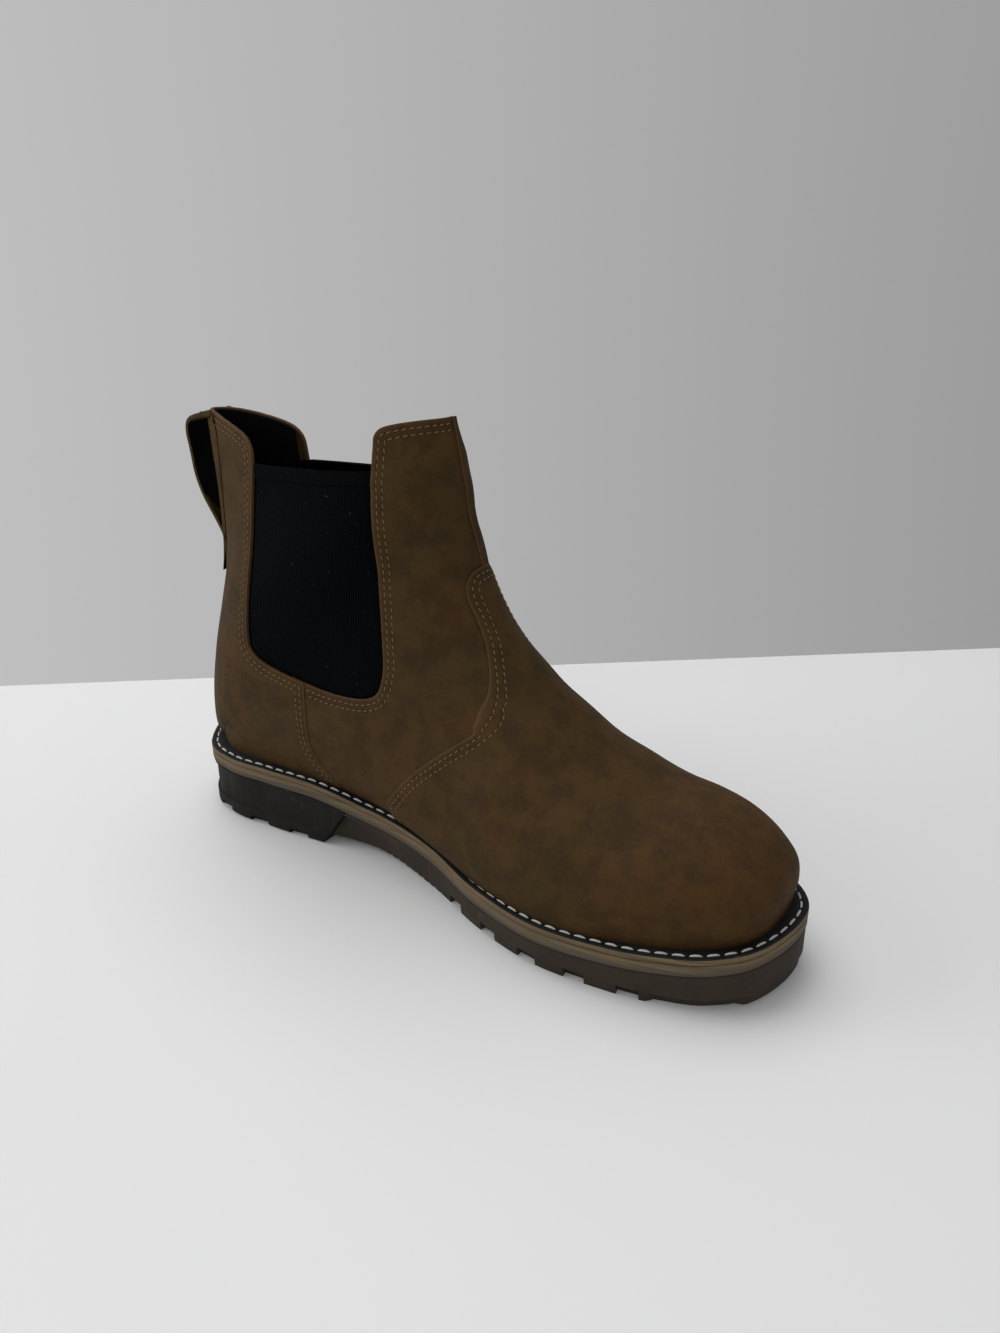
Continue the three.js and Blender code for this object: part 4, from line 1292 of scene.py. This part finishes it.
def striatedTan(name):
    strip = Finish(name)
    streaks = strip.noise(60, 3, 0.6, place=strip.scaled(0.35, 0.35, 14))
    clouds = strip.noise(45, 3, 0.6)
    colour = strip.mix(strip.band(streaks, 0.35, 0.68), (0.100, 0.073, 0.040), (0.168, 0.120, 0.068))
    colour = strip.mix(strip.band(clouds, 0.45, 0.7, 0, 0.5), colour, (0.17, 0.105, 0.068))
    lower = strip.band(strip.read("rise"), 0.15, 0.8, 0.8, 0)
    colour = strip.mix(lower, colour, (0.060, 0.055, 0.045))
    return strip.finish(colour, 0.7, streaks + clouds * 0.3, 0.4, 0.0005, Specular_IOR_Level=0.2)


def cord(name, dark, pale):
    twist = Finish(name)
    ply = twist.noise(700, 2, 0.5)
    return twist.finish(twist.mix(ply, dark, pale), 0.75, ply, 0.4, 0.0004)


edgeSkin, liningAndLoopShadeCloth = cutEdge(), blackLining()
for piece in (quarter, counterPanel, vamp, frontLap):
    dress(piece, upperSkin, edgeSkin)
dress(lining, liningAndLoopShadeCloth, liningAndLoopShadeCloth)
elastic = ribbedElastic("ribbed_elastic")
for piece in goreSheets:
    dress(piece, elastic, elastic)
dress(seamThread, cord("golden_thread", (0.085, 0.045, 0.013), (0.20, 0.11, 0.035)))
dress(weltStitches, cord("white_thread", (0.38, 0.36, 0.33), (0.62, 0.60, 0.56)))
tan = striatedTan("midsole_tan")
dress(welt, rubber("welt_black", (0.006, 0.006, 0.006), (0.012, 0.011, 0.011), 0.7), tan)
dress(midsole, tan)


def markRise(piece, low, high):
    place = np.empty(len(piece.data.vertices) * 3, np.float32)
    piece.data.vertices.foreach_get("co", place)
    place = place.reshape(-1, 3) * 1000 - boot["axisAt"]
    rise = (place[:, 2] - low(place[:, 0])) / (high(place[:, 0]) - low(place[:, 0]))
    markPoints(piece, "rise", rise)


markRise(midsole, midsoleBottom, midsoleTop)
markRise(welt, lambda x: weltBottom(x) - 10, weltTop)
for face in welt.data.polygons:  # the welt's side shows the same tan as the strip below it
    x, z = face.center.x * 1000 - boot["axisAt"][0], face.center.z * 1000
    face.material_index = int(abs(face.normal.z) < 0.75 and z < weltTop(x) - weltSizes["sideTop"])
dress(outsole, rubber("sole_rubber", (0.027, 0.020, 0.014), (0.042, 0.032, 0.022)))
dress(heel, rubber("heel_rubber", (0.006, 0.0045, 0.004), (0.011, 0.0085, 0.0075)))
strapSkin = nubuck("strap_nubuck", (0.066, 0.037, 0.009), (0.054, 0.034, 0.009), (0.078, 0.035, 0.009),
                   rows=False)
# the loop's second slot, the black cloth, is painted shade inside the loop
dress(loop, strapSkin, liningAndLoopShadeCloth)
legZ = np.linspace(legLine[0, 1], foldTop[1], 30)
outerX = np.interp(legZ, legLine[:, 1], legLine[:, 0])
innerX = np.interp(legZ, layZ[::-1], layLine[::-1, 0])
legX = (outerX + innerX) / 2
for face in loop.data.polygons:  # the faces inside the loop take the black cloth as painted shade in the loop's gap
    x, z = face.center.x * 1000 - boot["axisAt"][0], face.center.z * 1000
    inwards = face.normal.x * (np.interp(z, legZ, legX) - x) > 0 and abs(face.normal.x) > 0.6
    face.material_index = int(inwards and z < foldTop[1] - 3)
insoleCloth = Finish("insole_cloth")
footbedWeave = insoleCloth.noise(1100, 3, 0.6)
footbedColour = insoleCloth.mix(footbedWeave, (0.010, 0.009, 0.008), (0.02, 0.018, 0.016))
dress(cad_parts["insole"], insoleCloth.finish(footbedColour, 0.9, footbedWeave, 0.4, 0.0004))
print("materials dressed")

# Floor, light and camera
studio = {
    "floorBack": ((-0.365273, -0.006720), (0.162699, 0.401921)),
    "floorReach": 4.0,
    "leftWay": (-0.836, -0.549, 0),
    "wallTones": (0.33, 0.52),
}
backStart, backEnd = np.array(studio["floorBack"])
backWay = (backEnd - backStart) / np.linalg.norm(backEnd - backStart)
frontWay = np.array([backWay[1], -backWay[0]])
reach = studio["floorReach"]
backLeft, backRight = backStart - backWay * reach, backStart + backWay * reach
floorCorners = [backLeft, backRight, backLeft + frontWay * reach, backRight + frontWay * reach]
deselect()
bpy.ops.mesh.primitive_plane_add(size=1, location=(0, 0, 0))
floor = bpy.context.object
floor.name = "floor"
for vertex, corner in zip(floor.data.vertices, floorCorners):
    vertex.co = (*corner, 0)
floorFinish = Finish("pale_floor")
haze = floorFinish.noise(3, 3, 0.5)
floorTone = floorFinish.mix(haze, (0.76, 0.76, 0.765), (0.80, 0.80, 0.805))
dress(floor, floorFinish.finish(floorTone, 0.55, floorFinish.noise(300, 2, 0.5), 0.02, 0.001))

world = bpy.data.worlds.new("soft_grey")
bpy.context.scene.world = world
world.use_nodes = True
wallNodes = world.node_tree.nodes
wallWay = wallNodes.new("ShaderNodeTexCoord").outputs["Generated"]
toLeft = wallNodes.new("ShaderNodeVectorMath")
toLeft.operation = "DOT_PRODUCT"
toLeft.inputs[1].default_value = studio["leftWay"]
wallTone = wallNodes.new("ShaderNodeMapRange")
wallTone.inputs["From Min"].default_value, wallTone.inputs["From Max"].default_value = -0.45, 0.45
wallTone.inputs["To Min"].default_value, wallTone.inputs["To Max"].default_value = studio["wallTones"]
world.node_tree.links.new(wallWay, toLeft.inputs[0])
world.node_tree.links.new(toLeft.outputs["Value"], wallTone.inputs["Value"])
world.node_tree.links.new(wallTone.outputs["Result"], wallNodes["Background"].inputs["Color"])


def softbox(name, place, aim, size, power):
    data = bpy.data.lights.new(name, "AREA")
    data.shape, data.size, data.energy = "DISK", size, power
    lamp = bpy.data.objects.new(name, data)
    bpy.context.scene.collection.objects.link(lamp)
    lamp.location = place
    lamp.rotation_euler = (Vector(aim) - Vector(place)).to_track_quat("-Z", "Y").to_euler()


softbox("overhead", (-0.5, 0.3, 1.7), (0, 0, 0.05), 1.4, 14)
softbox("left_fill", (-1.3, -0.7, 0.7), (-0.05, 0, 0.08), 1.0, 7)
softbox("front_fill", (0.9, -1.3, 1.1), (0, 0, 0.08), 1.2, 5)

cameraSizes = {
    "place": (0.2353668, -0.3351743, 0.270833),
    "yaw": -0.581284864,
    "pitch": 0.405979386,
    "roll": 0.00737209868,
    "lens": 27.805,
    "sensor": 36,
}
yaw, pitch, roll = (cameraSizes[key] for key in ("yaw", "pitch", "roll"))
forward = Vector((math.cos(pitch) * math.sin(yaw), math.cos(pitch) * math.cos(yaw), -math.sin(pitch)))
level = Vector((math.cos(yaw), -math.sin(yaw), 0))
down = forward.cross(level)
right = level * math.cos(roll) + down * math.sin(roll)
down = down * math.cos(roll) - level * math.sin(roll)
camera = bpy.data.objects.new("camera", bpy.data.cameras.new("camera"))
bpy.context.scene.collection.objects.link(camera)
camera.data.lens, camera.data.sensor_width = cameraSizes["lens"], cameraSizes["sensor"]
camera.data.clip_start = 0.01
turned = Matrix((right, -down, -forward)).transposed().to_4x4()
camera.matrix_world = Matrix.Translation(cameraSizes["place"]) @ turned
bpy.context.scene.camera = camera
bpy.context.scene.view_settings.view_transform = "Standard"
